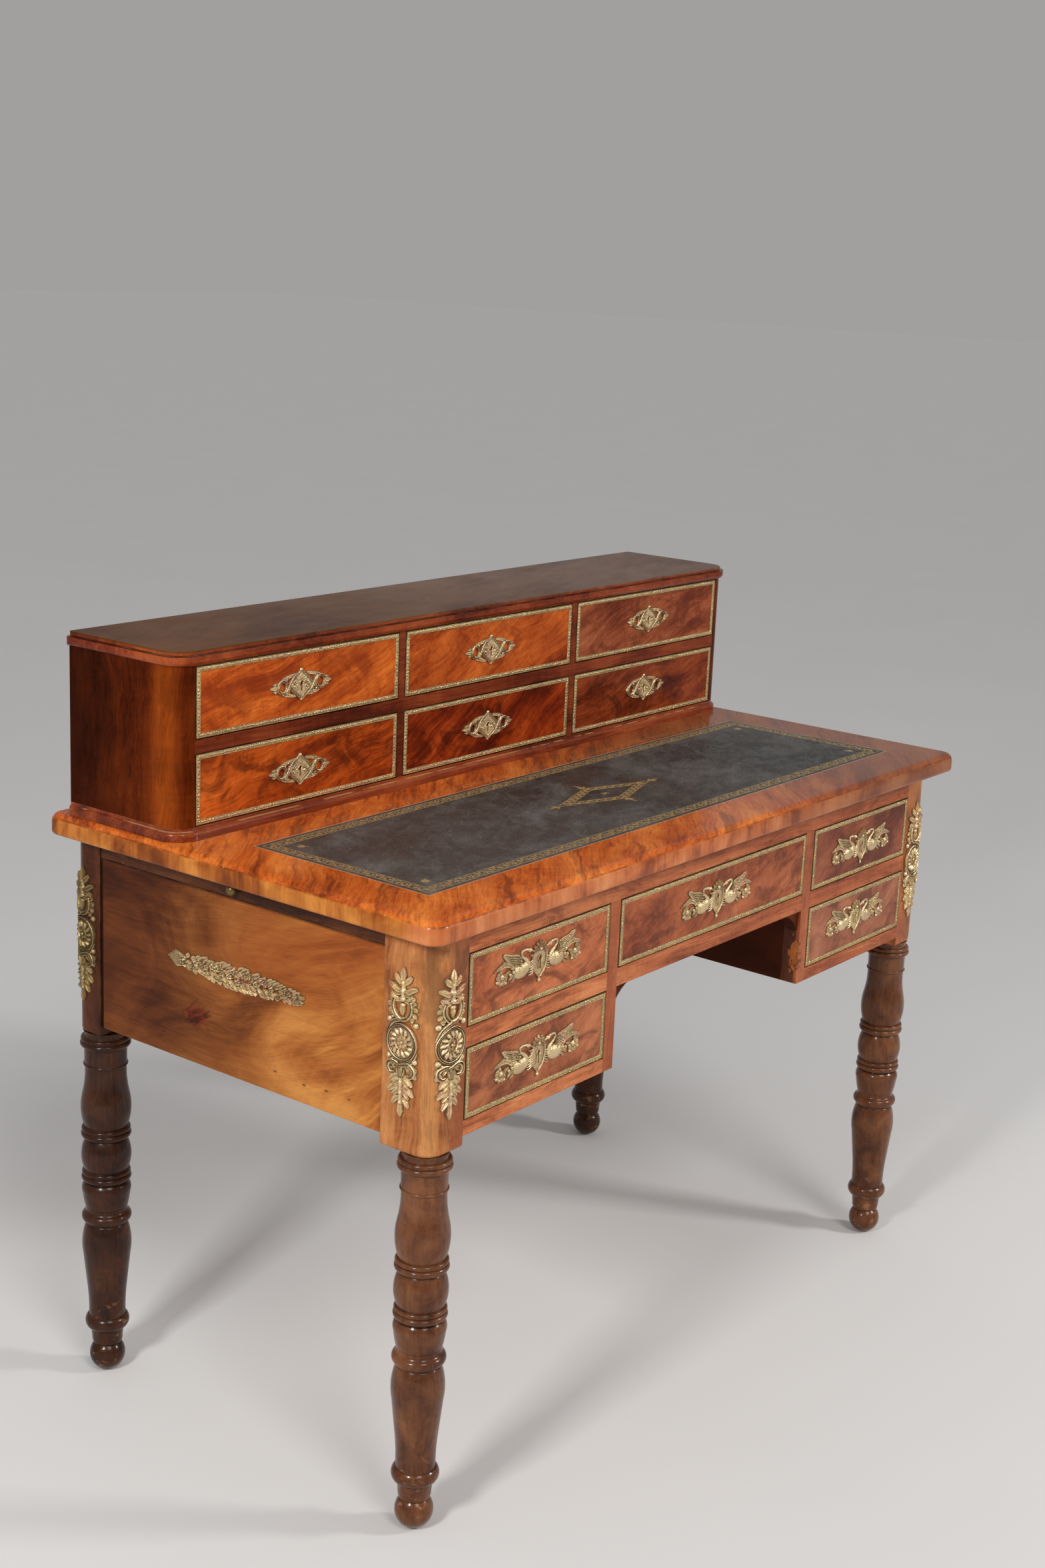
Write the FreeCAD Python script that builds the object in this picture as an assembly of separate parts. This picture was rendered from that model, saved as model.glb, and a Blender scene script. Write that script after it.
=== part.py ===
import FreeCAD, Part
import math
import os

# A writing table on turned legs with a tier of small drawers along the back of its top.
# Millimetres. X runs to the right as seen from the front, Y to the back, Z up.
# The origin lies on the floor under the middle of the table top.

Vec = FreeCAD.Vector

# Table top
top_width = 1180.0
top_depth = 632.0
top_thickness = 27.0
top_corner_radius = 20.0
top_edge_round = 11.0
top_under_round = 5.0
writing_height = 763.0

# Leather inset in the top
leather_side_margin = 78.0
leather_depth = 269.0
leather_front_margin = 78.0
leather_thickness = 1.5

# Carcass under the top
side_overhang = 32.0
front_overhang = 27.0
rear_overhang = 13.0
post_width = 58.0
front_post_depth = 72.0
rear_post_depth = 50.0
post_corner_radius = 24.0
post_drop = 14.0
post_foot_round = 5.0
top_rail_height = 30.5
upper_opening_height = 87.5
middle_rail_height = 23.0
lower_opening_height = 87.5
bottom_rail_height = 18.0
rail_depth = 24.0
stile_width = 20.5
kneehole_width = 430.5
side_panel_thickness = 18.0
side_panel_recess = 2.0
back_panel_thickness = 14.0
back_panel_recess = 6.0
bracket_length = 40.0
bracket_height = 30.0
bracket_thickness = 16.0
bracket_recess = 5.0
bracket_hollow = 0.38

# Turned legs: the ball foot, then each turning from the floor upwards
leg_inset_side = 28.0
leg_inset_front = 28.0
leg_inset_rear = 27.0
ball_radius = 23.0
ball_flat_depth = 0.5
ball_neck_radius = 17.0
shaft_top_radius = 30.3
tenon_radius = 14.0
tenon_length = 45.0
tenon_clearance = 0.2
# name, height, radius half way up, radius at its upper end; a height of 0 is a square step
turnings_below_shaft = [
    ("cup flare", 5.0, 18.8, 19.6),
    ("cup", 18.0, 20.3, 21.2),
    ("step under ankle ring", 0.0, 22.3, 23.4),
    ("ankle ring", 18.0, 28.4, 24.8),
    ("step over ankle ring", 0.0, 24.2, 23.6),
    ("shaft foot", 38.0, 23.7, 25.0),
]
turnings_above_shaft = [
    ("shoulder", 43.0, 31.4, 26.8),
    ("groove under lower ring", 3.0, 25.9, 26.2),
    ("lower ring", 13.5, 31.8, 28.4),
    ("cove", 8.0, 26.3, 27.2),
    ("vase wall", 20.0, 29.3, 30.7),
    ("vase shoulder", 14.0, 31.2, 28.0),
    ("groove under middle ring", 2.5, 26.6, 26.8),
    ("middle ring lip", 8.5, 31.9, 29.0),
    ("middle ring bead", 6.5, 31.0, 28.0),
    ("bulb", 41.5, 31.9, 27.0),
    ("groove under upper ring", 3.0, 26.2, 26.6),
    ("upper ring lip", 8.5, 32.0, 29.2),
    ("upper ring bead", 6.5, 31.2, 27.8),
    ("baluster belly", 44.0, 32.0, 30.1),
    ("baluster neck", 39.0, 26.8, 26.5),
    ("neck bead", 3.2, 28.4, 26.9),
    ("collar", 22.8, 26.9, 27.2),
    ("step under head ring", 0.0, 27.7, 28.2),
    ("head ring lip", 7.5, 32.2, 29.4),
    ("head ring bead", 6.0, 31.2, 28.4),
    ("step over head ring", 0.0, 27.7, 27.0),
    ("throat", 8.0, 26.9, 28.2),
]

# Pull-out side slides under the top
slide_thickness = 24.0
slide_gap = 1.0
slide_stop_width = 12.0
slide_bearer_width = 27.0
slide_bearer_thickness = 14.0
slide_guide_width = 15.0
knob_radius = 7.0
knob_length = 13.0
knob_neck_radius = 3.5
knob_shank_radius = 2.0
knob_shank_length = 14.0
knob_shank_clearance = 0.1

# Drawers
drawer_clearance = 0.8
drawer_front_thickness = 18.0
drawer_side_thickness = 9.0
drawer_back_thickness = 9.0
drawer_bottom_thickness = 6.0
drawer_bottom_raise = 5.0
drawer_back_gap = 10.0
drawer_side_drop = 10.0
bearer_clearance = 2.0
runner_width = 22.0
runner_thickness = 12.0
guide_height = 24.0

# Brass beading, locks and escutcheons
bead_width = 6.5
bead_proud = 1.2
bead_set = 1.0
lock_width = 44.0
lock_height = 58.0
lock_depth = 10.0
bolt_width = 16.0
bolt_depth = 5.0
bolt_height = 24.0
bolt_drawn = 0.5
bolt_clearance = 0.2
keyhole_radius = 3.0
keyhole_slot_width = 3.0
keyhole_slot_length = 10.0
escutcheon_thickness = 3.0
swan_width = 164.0
swan_height = 52.0
rosette_width = 107.0
rosette_height = 40.0
mount_width = 42.0
mount_height = 176.0
mount_thickness = 4.0
mount_inset = 30.0
front_mount_inset = 27.0
mount_rise = 8.0
garland_length = 226.0
garland_height = 30.0
garland_thickness = 6.0
garland_height_on_panel = 125.5
# Each plate was nailed on by hand, so it lies a little to the right of and above its drawer's middle
plate_shifts = {
    "left_upper": (-6.0, 5.5), "left_lower": (-1.0, -1.0), "centre": (-3.0, -0.5),
    "right_upper": (-1.0, -3.0), "right_lower": (-2.0, 3.0),
    "tier_upper_left": (-3.5, 0.0), "tier_upper_centre": (-4.0, -1.0), "tier_upper_right": (-0.5, 1.0),
    "tier_lower_left": (-3.5, -2.0), "tier_lower_centre": (-5.0, -1.0), "tier_lower_right": (-4.0, 3.0),
}

# Drawer tier standing on the back of the top
tier_side_margin = 16.0
tier_front_setback = 413.0
tier_depth = 189.0
tier_corner_radius = 28.0
tier_corner_flat = 0.6
tier_rear_corner_radius = 5.0
tier_side_thickness = 14.0
tier_back_thickness = 10.0
tier_base_thickness = 15.5
tier_plinth_height = 11.5
tier_plinth_proud = 5.0
tier_plinth_flat = 0.3
tier_opening_height = 89.0
tier_shelf_thickness = 16.0
tier_upright_thickness = 11.5
tier_centre_opening_width = 357.0
tier_cornice_height = 12.0
tier_cornice_proud = 6.5
tier_cornice_flat = 0.3
tier_cap_height = 5.5
tier_cap_proud = 1.5

# Outlines of the brass mounts as shares of their half width and half height
# Half of the two-swan plate, from the flower over the keyhole round to the pendant
swan_outline = [
    (0.00, 1.00), (0.14, 0.78), (0.22, 0.92), (0.40, 0.86), (0.45, 0.66), (0.41, 0.22), (0.50, 0.66),
    (0.66, 0.92), (0.80, 1.08), (0.83, 0.96), (0.74, 0.52), (1.00, 0.52), (0.98, -0.04), (0.80, -0.36),
    (0.62, -0.12), (0.42, -0.36), (0.29, -0.26), (0.17, -0.26), (0.11, -0.50), (0.05, -0.60), (0.03, -0.84),
]
# Upper right quarter of the lozenge plate
rosette_outline = [
    (0.00, 1.00), (0.12, 0.80), (0.22, 0.68), (0.40, 0.62), (0.48, 0.50), (0.56, 0.56), (0.68, 0.52),
    (0.76, 0.30), (0.86, 0.20), (1.00, 0.00),
]
# Upper right quarter of the tall post mount
post_mount_outline = [
    (0.00, 1.00), (0.34, 0.90), (0.20, 0.83), (0.84, 0.76), (0.48, 0.68), (0.80, 0.61), (0.94, 0.42),
    (0.72, 0.36), (0.98, 0.22), (1.00, 0.00),
]
# Upper half of the flower garland, from its tail to its bow
garland_outline = [
    (-1.00, 0.10), (-0.94, 0.30), (-0.80, 0.42), (-0.62, 0.62), (-0.44, 0.74), (-0.26, 0.88), (-0.08, 0.96),
    (0.10, 1.00), (0.28, 0.92), (0.46, 0.94), (0.62, 0.80), (0.74, 0.50), (0.84, 0.62), (0.95, 0.78), (1.00, 0.40),
]

# Places worked out from the sizes above
top_front = -top_depth / 2
top_rear = top_depth / 2
top_underside = writing_height - top_thickness
body_side = top_width / 2 - side_overhang
body_front = top_front + front_overhang
body_rear = top_rear - rear_overhang
post_inner = body_side - post_width
front_post_rear = body_front + front_post_depth
rear_post_front = body_rear - rear_post_depth
rail_back = body_front + rail_depth
kneehole_side = kneehole_width / 2
stile_outer = kneehole_side + stile_width
upper_top = top_underside - top_rail_height
upper_bottom = upper_top - upper_opening_height
lower_top = upper_bottom - middle_rail_height
lower_bottom = lower_top - lower_opening_height
body_bottom = lower_bottom - bottom_rail_height
post_bottom = body_bottom - post_drop
panel_face = body_side - side_panel_recess
panel_inside = panel_face - side_panel_thickness
back_rear = body_rear - back_panel_recess
back_front = back_rear - back_panel_thickness
leg_x = body_side - leg_inset_side
leg_front_y = body_front + leg_inset_front
leg_rear_y = body_rear - leg_inset_rear
slide_top = top_underside - slide_gap
slide_bottom = slide_top - slide_thickness
slide_bay_floor = slide_bottom - slide_gap
bearer_bottom = slide_bay_floor - slide_bearer_thickness
side_middle = (front_post_rear + rear_post_front) / 2

tier_side = top_width / 2 - tier_side_margin
tier_front = top_front + tier_front_setback
tier_rear = tier_front + tier_depth
tier_opening_side = tier_side - tier_corner_radius
tier_corner_back = tier_front + tier_corner_radius
tier_inner_side = tier_side - tier_side_thickness
tier_back_front = tier_rear - tier_back_thickness
tier_centre_side = tier_centre_opening_width / 2
tier_upright_outer = tier_centre_side + tier_upright_thickness
tier_floor = writing_height + tier_base_thickness
tier_shelf_bottom = tier_floor + tier_opening_height
tier_shelf_top = tier_shelf_bottom + tier_shelf_thickness
tier_ceiling = tier_shelf_top + tier_opening_height

level_tolerance = 1e-6


def box(x0, x1, y0, y1, z0, z1):
    """Rectangular block between two corners."""
    return Part.makeBox(x1 - x0, y1 - y0, z1 - z0, Vec(x0, y0, z0))


def mirrored(shape):
    """The same piece on the other side of the desk."""
    return shape.mirror(Vec(0, 0, 0), Vec(1, 0, 0))


def pair(shape):
    """A piece and its mirror image."""
    return [shape, mirrored(shape)]


def level_edges(shape, z):
    """Edges that lie flat at height z."""
    found = []
    for edge in shape.Edges:
        bounds = edge.BoundBox
        if abs(bounds.ZMin - z) < level_tolerance and abs(bounds.ZMax - z) < level_tolerance:
            found.append(edge)
    return found


def upright_edges(shape, corners=None):
    """Upright edges of a block, or only those that stand over the given plan points."""
    found = []
    for edge in shape.Edges:
        bounds = edge.BoundBox
        if bounds.XLength > level_tolerance or bounds.YLength > level_tolerance:
            continue
        for x, y in corners or [(bounds.XMin, bounds.YMin)]:
            if abs(bounds.XMin - x) < level_tolerance and abs(bounds.YMin - y) < level_tolerance:
                found.append(edge)
    return found


def prism(points, direction):
    """Straight-sided prism over a closed polygon."""
    face = Part.Face(Part.makePolygon(points + [points[0]]))
    return face.extrude(direction)


def curved_plate(points, direction):
    """Plate whose outline is one smooth closed curve through the points."""
    curve = Part.BSplineCurve()
    curve.interpolate(points, PeriodicFlag=True)
    face = Part.Face(Part.Wire(curve.toShape()))
    return face.extrude(direction)


def both_halves(outline):
    """Full outline from its right half, listed from top to bottom."""
    left = [(-x, z) for x, z in reversed(outline) if x > 0]
    return outline + left


def four_quarters(outline):
    """Full outline from its upper right quarter, listed from the top tip to the side."""
    below = [(x, -z) for x, z in reversed(outline) if z > 0]
    return both_halves(outline + below)


def top_and_bottom(outline):
    """Full outline from its upper half, listed from one end to the other."""
    return outline + [(x, -z) for x, z in reversed(outline)]


def make_table_top():
    """Top board with rounded corners and edges and a shallow bed for the leather."""
    half = top_width / 2
    board = box(-half, half, top_front, top_rear, top_underside, writing_height)
    board = board.makeFillet(top_corner_radius, upright_edges(board))
    board = board.makeFillet(top_edge_round, level_edges(board, writing_height))
    board = board.makeFillet(top_under_round, level_edges(board, top_underside))
    return board.cut(make_leather())


def make_leather():
    """Sheet of leather, flush with the top."""
    front = top_front + leather_front_margin
    half = top_width / 2 - leather_side_margin
    return box(-half, half, front, front + leather_depth, writing_height - leather_thickness, writing_height)


def make_post(y0, y1, outer_y, leg_y):
    """Left corner post, rounded on its outer edge and bored for the leg's tenon."""
    post = box(-body_side, -post_inner, y0, y1, post_bottom, top_underside)
    post = post.makeFillet(post_corner_radius, upright_edges(post, [(-body_side, outer_y)]))
    post = post.makeFillet(post_foot_round, level_edges(post, post_bottom))
    socket = Part.makeCylinder(
        tenon_radius + tenon_clearance, tenon_length + tenon_clearance, Vec(-leg_x, leg_y, post_bottom)
    )
    return post.cut(socket)


def make_leg(x, y):
    """Turned leg from its ball foot to the tenon in the post."""
    ball_centre = ball_radius - ball_flat_depth
    ball_flat = math.sqrt(ball_radius ** 2 - ball_centre ** 2)
    ball_top = ball_centre + math.sqrt(ball_radius ** 2 - ball_neck_radius ** 2)
    others = sum(turning[1] for turning in turnings_below_shaft + turnings_above_shaft)
    shaft_height = post_bottom - ball_top - others
    shaft_middle = (turnings_below_shaft[-1][3] + shaft_top_radius) / 2
    shaft = ("shaft", shaft_height, shaft_middle, shaft_top_radius)

    foot = Vec(0, 0, 0)
    edges = [
        Part.makeLine(foot, Vec(ball_flat, 0, 0)),
        Part.Arc(Vec(ball_flat, 0, 0), Vec(ball_radius, 0, ball_centre), Vec(ball_neck_radius, 0, ball_top)).toShape(),
    ]
    radius = ball_neck_radius
    z = ball_top
    for name, height, middle, end in turnings_below_shaft + [shaft] + turnings_above_shaft:
        start_point = Vec(radius, 0, z)
        end_point = Vec(end, 0, z + height)
        if abs(middle - (radius + end) / 2) < level_tolerance:
            edges.append(Part.makeLine(start_point, end_point))
        else:
            edges.append(Part.Arc(start_point, Vec(middle, 0, z + height / 2), end_point).toShape())
        radius = end
        z += height
    corners = [Vec(radius, 0, z), Vec(tenon_radius, 0, z), Vec(tenon_radius, 0, z + tenon_length)]
    corners += [Vec(0, 0, z + tenon_length), foot]
    for start_point, end_point in zip(corners, corners[1:]):
        edges.append(Part.makeLine(start_point, end_point))
    leg = Part.Face(Part.Wire(edges)).revolve(Vec(0, 0, 0), Vec(0, 0, 1), 360)
    leg = Part.Solid(leg) if leg.ShapeType != "Solid" else leg
    leg.translate(Vec(x, y, 0))
    return leg


def make_side_panel():
    """Left side panel between the posts, under the slide."""
    return box(-panel_face, -panel_inside, front_post_rear, rear_post_front, body_bottom, slide_bay_floor)


def make_back_panels():
    """Backs of the two drawer stacks and of the drawer over the kneehole."""
    stack = box(-post_inner, -kneehole_side, back_front, back_rear, body_bottom, top_underside)
    middle = box(-kneehole_side, kneehole_side, back_front, back_rear, lower_top, top_underside)
    return pair(stack) + [middle]


def make_front_rails():
    """Rails between the drawers in the front."""
    top_rail = box(-post_inner, post_inner, body_front, rail_back, upper_top, top_underside)
    over_kneehole = box(-kneehole_side, kneehole_side, body_front, rail_back, lower_top, upper_bottom)
    middle = box(-post_inner, -stile_outer, body_front, rail_back, lower_top, upper_bottom)
    bottom = box(-post_inner, -stile_outer, body_front, rail_back, body_bottom, lower_bottom)
    return [top_rail, over_kneehole] + pair(middle) + pair(bottom)


def make_stile():
    """Left upright between a drawer stack and the kneehole."""
    return box(-stile_outer, -kneehole_side, body_front, rail_back, body_bottom, upper_top)


def make_kneehole_panel():
    """Left wall of the kneehole behind its stile."""
    return box(-stile_outer, -kneehole_side, rail_back, back_front, body_bottom, bearer_bottom)


def make_bracket():
    """Small curved bracket in the left upper corner of the kneehole."""
    front = body_front + bracket_recess
    corner = Vec(-kneehole_side, front, lower_top)
    along = corner + Vec(bracket_length, 0, 0)
    down = corner + Vec(0, 0, -bracket_height)
    hollow = corner + Vec(bracket_length * bracket_hollow, 0, -bracket_height * bracket_hollow)
    edges = [
        Part.makeLine(down, corner),
        Part.makeLine(corner, along),
        Part.Arc(along, hollow, down).toShape(),
    ]
    return Part.Face(Part.Wire(edges)).extrude(Vec(0, bracket_thickness, 0))


def make_runners():
    """Runners and guides under the drawers, and the bearers, guides and stop of the slides."""
    pieces = []
    for floor in (upper_bottom, lower_bottom):
        under = floor - runner_thickness
        outer = box(-post_inner, -post_inner + runner_width, rail_back, back_front, under, floor)
        inner = box(-stile_outer - runner_width, -stile_outer, rail_back, back_front, under, floor)
        guide = box(-panel_inside, -post_inner, front_post_rear, rear_post_front, under, floor + guide_height)
        pieces += pair(outer) + pair(inner) + pair(guide)
    centre = box(
        -kneehole_side, -kneehole_side + runner_width, rail_back, back_front,
        upper_bottom - runner_thickness, upper_bottom,
    )
    pieces += pair(centre)
    for y0, y1 in (
        (front_post_rear, front_post_rear + slide_bearer_width),
        (rear_post_front - slide_bearer_width, rear_post_front),
    ):
        pieces.append(box(-panel_inside, panel_inside, y0, y1, bearer_bottom, slide_bay_floor))
    for y0, y1 in (
        (front_post_rear - slide_guide_width, front_post_rear),
        (rear_post_front, rear_post_front + slide_guide_width),
    ):
        pieces.append(box(-post_inner, post_inner, y0, y1, slide_bay_floor, top_underside))
    half = slide_stop_width / 2
    pieces.append(box(-half, half, front_post_rear, rear_post_front, slide_bay_floor, top_underside))
    return pieces


def make_slide():
    """Left pull-out slide, drilled for its knob."""
    board = box(
        -panel_face, -slide_stop_width / 2 - drawer_clearance,
        front_post_rear + drawer_clearance, rear_post_front - drawer_clearance,
        slide_bottom, slide_top,
    )
    hole = Part.makeCylinder(
        knob_shank_radius + knob_shank_clearance, knob_shank_length + knob_shank_clearance,
        Vec(-panel_face, side_middle, (slide_bottom + slide_top) / 2), Vec(1, 0, 0),
    )
    return board.cut(hole)


def make_knob():
    """Left slide's brass knob with its screw shank."""
    face = -panel_face
    head_start = face - knob_length + knob_radius
    points = [
        Vec(face + knob_shank_length, 0, 0),
        Vec(face + knob_shank_length, 0, knob_shank_radius),
        Vec(face, 0, knob_shank_radius),
        Vec(face, 0, knob_neck_radius),
        Vec(head_start + knob_radius / 2, 0, knob_neck_radius),
        Vec(head_start, 0, knob_radius),
    ]
    edges = [Part.makeLine(a, b) for a, b in zip(points, points[1:])]
    tip = Vec(face - knob_length, 0, 0)
    shoulder = Vec(head_start - knob_radius * math.sin(math.pi / 4), 0, knob_radius * math.cos(math.pi / 4))
    edges.append(Part.Arc(points[-1], shoulder, tip).toShape())
    edges.append(Part.makeLine(tip, points[0]))
    knob = Part.Face(Part.Wire(edges)).revolve(Vec(0, 0, 0), Vec(1, 0, 0), 360)
    knob = Part.Solid(knob) if knob.ShapeType != "Solid" else knob
    knob.translate(Vec(0, side_middle, (slide_bottom + slide_top) / 2))
    return knob


def make_keyhole(x, z, y0, y1):
    """Round hole with a slot below it, through everything between y0 and y1."""
    round_hole = Part.makeCylinder(keyhole_radius, y1 - y0, Vec(x, y0, z), Vec(0, 1, 0))
    half = keyhole_slot_width / 2
    return round_hole.fuse(box(x - half, x + half, y0, y1, z - keyhole_slot_length, z))


def make_escutcheon(outline, width, height, x, z, face_y):
    """Brass plate round a keyhole, standing on the drawer's face."""
    points = [Vec(x + u * width / 2, face_y, z + v * height / 2) for u, v in outline]
    return curved_plate(points, Vec(0, -escutcheon_thickness, 0))


def make_beading(x0, x1, z0, z1, face_y):
    """Four mitred brass strips let into the edges of a drawer front."""
    w = bead_width
    y = face_y - bead_proud
    outer = [Vec(x0, y, z0), Vec(x1, y, z0), Vec(x1, y, z1), Vec(x0, y, z1)]
    inner = [Vec(x0 + w, y, z0 + w), Vec(x1 - w, y, z0 + w), Vec(x1 - w, y, z1 - w), Vec(x0 + w, y, z1 - w)]
    strips = []
    for i in range(4):
        j = (i + 1) % 4
        strips.append(prism([outer[i], outer[j], inner[j], inner[i]], Vec(0, bead_proud + bead_set, 0)))
    return strips


def make_drawer(name, x0, x1, z0, z1, face_y, bay_back, side_top, plate):
    """One drawer in the opening x0..x1, z0..z1: its front, its box and its brass."""
    x0 += drawer_clearance
    x1 -= drawer_clearance
    z0 += drawer_clearance
    z1 -= drawer_clearance
    x = (x0 + x1) / 2
    z = (z0 + z1) / 2
    inside = face_y + drawer_front_thickness
    end = bay_back - drawer_back_gap

    plate_x = x + plate_shifts[name][0]
    plate_z = z + plate_shifts[name][1]
    keyhole = make_keyhole(plate_x, plate_z, face_y - escutcheon_thickness, inside - lock_depth / 2)
    lock_space = box(x - lock_width / 2, x + lock_width / 2, inside - lock_depth, inside, z1 - lock_height, z1)
    middle = inside - lock_depth / 2
    slot = box(
        x - bolt_width / 2 - bolt_clearance, x + bolt_width / 2 + bolt_clearance,
        middle - bolt_depth / 2 - bolt_clearance, middle + bolt_depth / 2 + bolt_clearance,
        z1 - bolt_height - bolt_clearance, z1,
    )
    bolt = box(
        x - bolt_width / 2, x + bolt_width / 2,
        middle - bolt_depth / 2, middle + bolt_depth / 2,
        z1 - bolt_height, z1 - bolt_drawn,
    )

    rim = box(x0, x1, face_y, face_y + bead_set, z0, z1)
    field = box(x0 + bead_width, x1 - bead_width, face_y, face_y + bead_set, z0 + bead_width, z1 - bead_width)
    front = box(x0, x1, face_y, inside, z0, z1).cut(rim.cut(field)).cut(lock_space).cut(keyhole)

    left_inner = x0 + drawer_side_thickness
    right_inner = x1 - drawer_side_thickness
    bottom_z = z0 + drawer_bottom_raise
    floor_z = bottom_z + drawer_bottom_thickness
    box_pieces = [
        box(x0, left_inner, inside, end, z0, side_top),
        box(right_inner, x1, inside, end, z0, side_top),
        box(left_inner, right_inner, end - drawer_back_thickness, end, floor_z, side_top),
        box(left_inner, right_inner, inside, end, bottom_z, floor_z),
    ]

    outline, width, height = plate
    escutcheon = make_escutcheon(outline, width, height, plate_x, plate_z, face_y).cut(keyhole)
    lock = lock_space.cut(slot).cut(keyhole)
    fittings = make_beading(x0, x1, z0, z1, face_y) + [escutcheon, lock, bolt]
    save(name + "_drawer_front", front)
    save(name + "_drawer_box", *box_pieces)
    save(name + "_drawer_fittings", *fittings)


def make_all_drawers():
    """The drawers of the table and of the tier."""
    swan = (both_halves(swan_outline), swan_width, swan_height)
    rosette = (four_quarters(rosette_outline), rosette_width, rosette_height)
    upper_sides = bearer_bottom - bearer_clearance
    lower_sides = lower_top - drawer_side_drop
    for side, x0, x1 in (("left", -post_inner, -stile_outer), ("right", stile_outer, post_inner)):
        make_drawer(side + "_upper", x0, x1, upper_bottom, upper_top, body_front, back_front, upper_sides, swan)
        make_drawer(side + "_lower", x0, x1, lower_bottom, lower_top, body_front, back_front, lower_sides, swan)
    make_drawer(
        "centre", -kneehole_side, kneehole_side, upper_bottom, upper_top,
        body_front, back_front, upper_sides, swan,
    )
    columns = (
        ("left", -tier_opening_side, -tier_upright_outer),
        ("centre", -tier_centre_side, tier_centre_side),
        ("right", tier_upright_outer, tier_opening_side),
    )
    rows = (("upper", tier_shelf_top, tier_ceiling), ("lower", tier_floor, tier_shelf_bottom))
    for column, x0, x1 in columns:
        for row, z0, z1 in rows:
            name = "tier_" + row + "_" + column
            sides = z1 - drawer_side_drop
            make_drawer(name, x0, x1, z0, z1, tier_front, tier_back_front, sides, rosette)


def make_tier_slab(proud, z0, z1):
    """Slab over the tier's plan, flush with its back and proud elsewhere, with rounded front corners."""
    side, front = tier_side + proud, tier_front - proud
    slab = box(-side, side, front, tier_rear, z0, z1)
    return slab.makeFillet(tier_corner_radius + proud, upright_edges(slab, [(-side, front), (side, front)]))


def make_tier_moulding(proud, z0, z1, radius, moulded_level):
    """Slab whose front and side edges are rounded at one level, with its rear corners eased."""
    side, front = tier_side + proud, tier_front - proud
    slab = make_tier_slab(proud, z0, z1)
    edges = [edge for edge in level_edges(slab, moulded_level) if edge.CenterOfMass.y < tier_rear - level_tolerance]
    eased = box(-side, side, front, tier_rear, z0, z1)
    eased = eased.makeFillet(tier_rear_corner_radius, upright_edges(eased, [(-side, tier_rear), (side, tier_rear)]))
    return slab.makeFillet(radius, edges).common(eased)


def make_tier_base():
    """Base board of the tier with its moulded plinth."""
    plinth_top = writing_height + tier_plinth_height
    rounding = tier_plinth_proud - tier_plinth_flat
    plinth = make_tier_moulding(tier_plinth_proud, writing_height, plinth_top, rounding, plinth_top)
    board = make_tier_slab(0.0, writing_height, tier_floor)
    return plinth.fuse(board).removeSplitter()


def make_tier_top():
    """Top board of the tier: a quarter-round cornice under a thin cap."""
    cornice_top = tier_ceiling + tier_cornice_height
    rounding = tier_cornice_proud - tier_cornice_flat
    cornice = make_tier_moulding(tier_cornice_proud, tier_ceiling, cornice_top, rounding, tier_ceiling)
    cap_top = cornice_top + tier_cap_height
    cap = make_tier_moulding(tier_cap_proud, cornice_top, cap_top, tier_cap_proud, cap_top)
    return cornice.fuse(cap).removeSplitter()


def make_tier_side():
    """Left side of the tier with its rounded front corner."""
    block = box(-tier_side, -tier_opening_side, tier_front, tier_corner_back, tier_floor, tier_ceiling)
    corner = upright_edges(block, [(-tier_side, tier_front)])
    block = block.makeFillet(tier_corner_radius - tier_corner_flat, corner)
    board = box(-tier_side, -tier_inner_side, tier_corner_back, tier_rear, tier_floor, tier_ceiling)
    return block.fuse(board).removeSplitter()


def make_tier_back():
    """Back board of the tier."""
    return box(-tier_inner_side, tier_inner_side, tier_back_front, tier_rear, tier_floor, tier_ceiling)


def make_tier_dividers():
    """Uprights, shelves and drawer guides inside the tier."""
    upright = box(-tier_upright_outer, -tier_centre_side, tier_front, tier_back_front, tier_floor, tier_ceiling)
    middle = box(
        -tier_centre_side, tier_centre_side, tier_front, tier_back_front, tier_shelf_bottom, tier_shelf_top
    )
    shelf = prism(
        [
            Vec(-tier_opening_side, tier_front, tier_shelf_bottom),
            Vec(-tier_upright_outer, tier_front, tier_shelf_bottom),
            Vec(-tier_upright_outer, tier_back_front, tier_shelf_bottom),
            Vec(-tier_inner_side, tier_back_front, tier_shelf_bottom),
            Vec(-tier_inner_side, tier_corner_back, tier_shelf_bottom),
            Vec(-tier_opening_side, tier_corner_back, tier_shelf_bottom),
        ],
        Vec(0, 0, tier_shelf_thickness),
    )
    pieces = pair(upright) + [middle] + pair(shelf)
    for floor in (tier_floor, tier_shelf_top):
        guide = box(
            -tier_inner_side, -tier_opening_side, tier_corner_back, tier_back_front, floor, floor + guide_height
        )
        pieces += pair(guide)
    return pieces


def make_corner_shell(y0, y1, outer_y):
    """Thin layer over the outside of a left post, which the mounts are cut from."""
    t = mount_thickness
    grown = box(-body_side - t, -post_inner, y0 - t, y1 + t, body_bottom, top_underside)
    outer = outer_y - t if outer_y == y0 else outer_y + t
    grown = grown.makeFillet(post_corner_radius + t, upright_edges(grown, [(-body_side - t, outer)]))
    core = box(-body_side, -post_inner, y0, y1, body_bottom, top_underside)
    core = core.makeFillet(post_corner_radius, upright_edges(core, [(-body_side, outer_y)]))
    return grown.cut(core)


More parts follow.
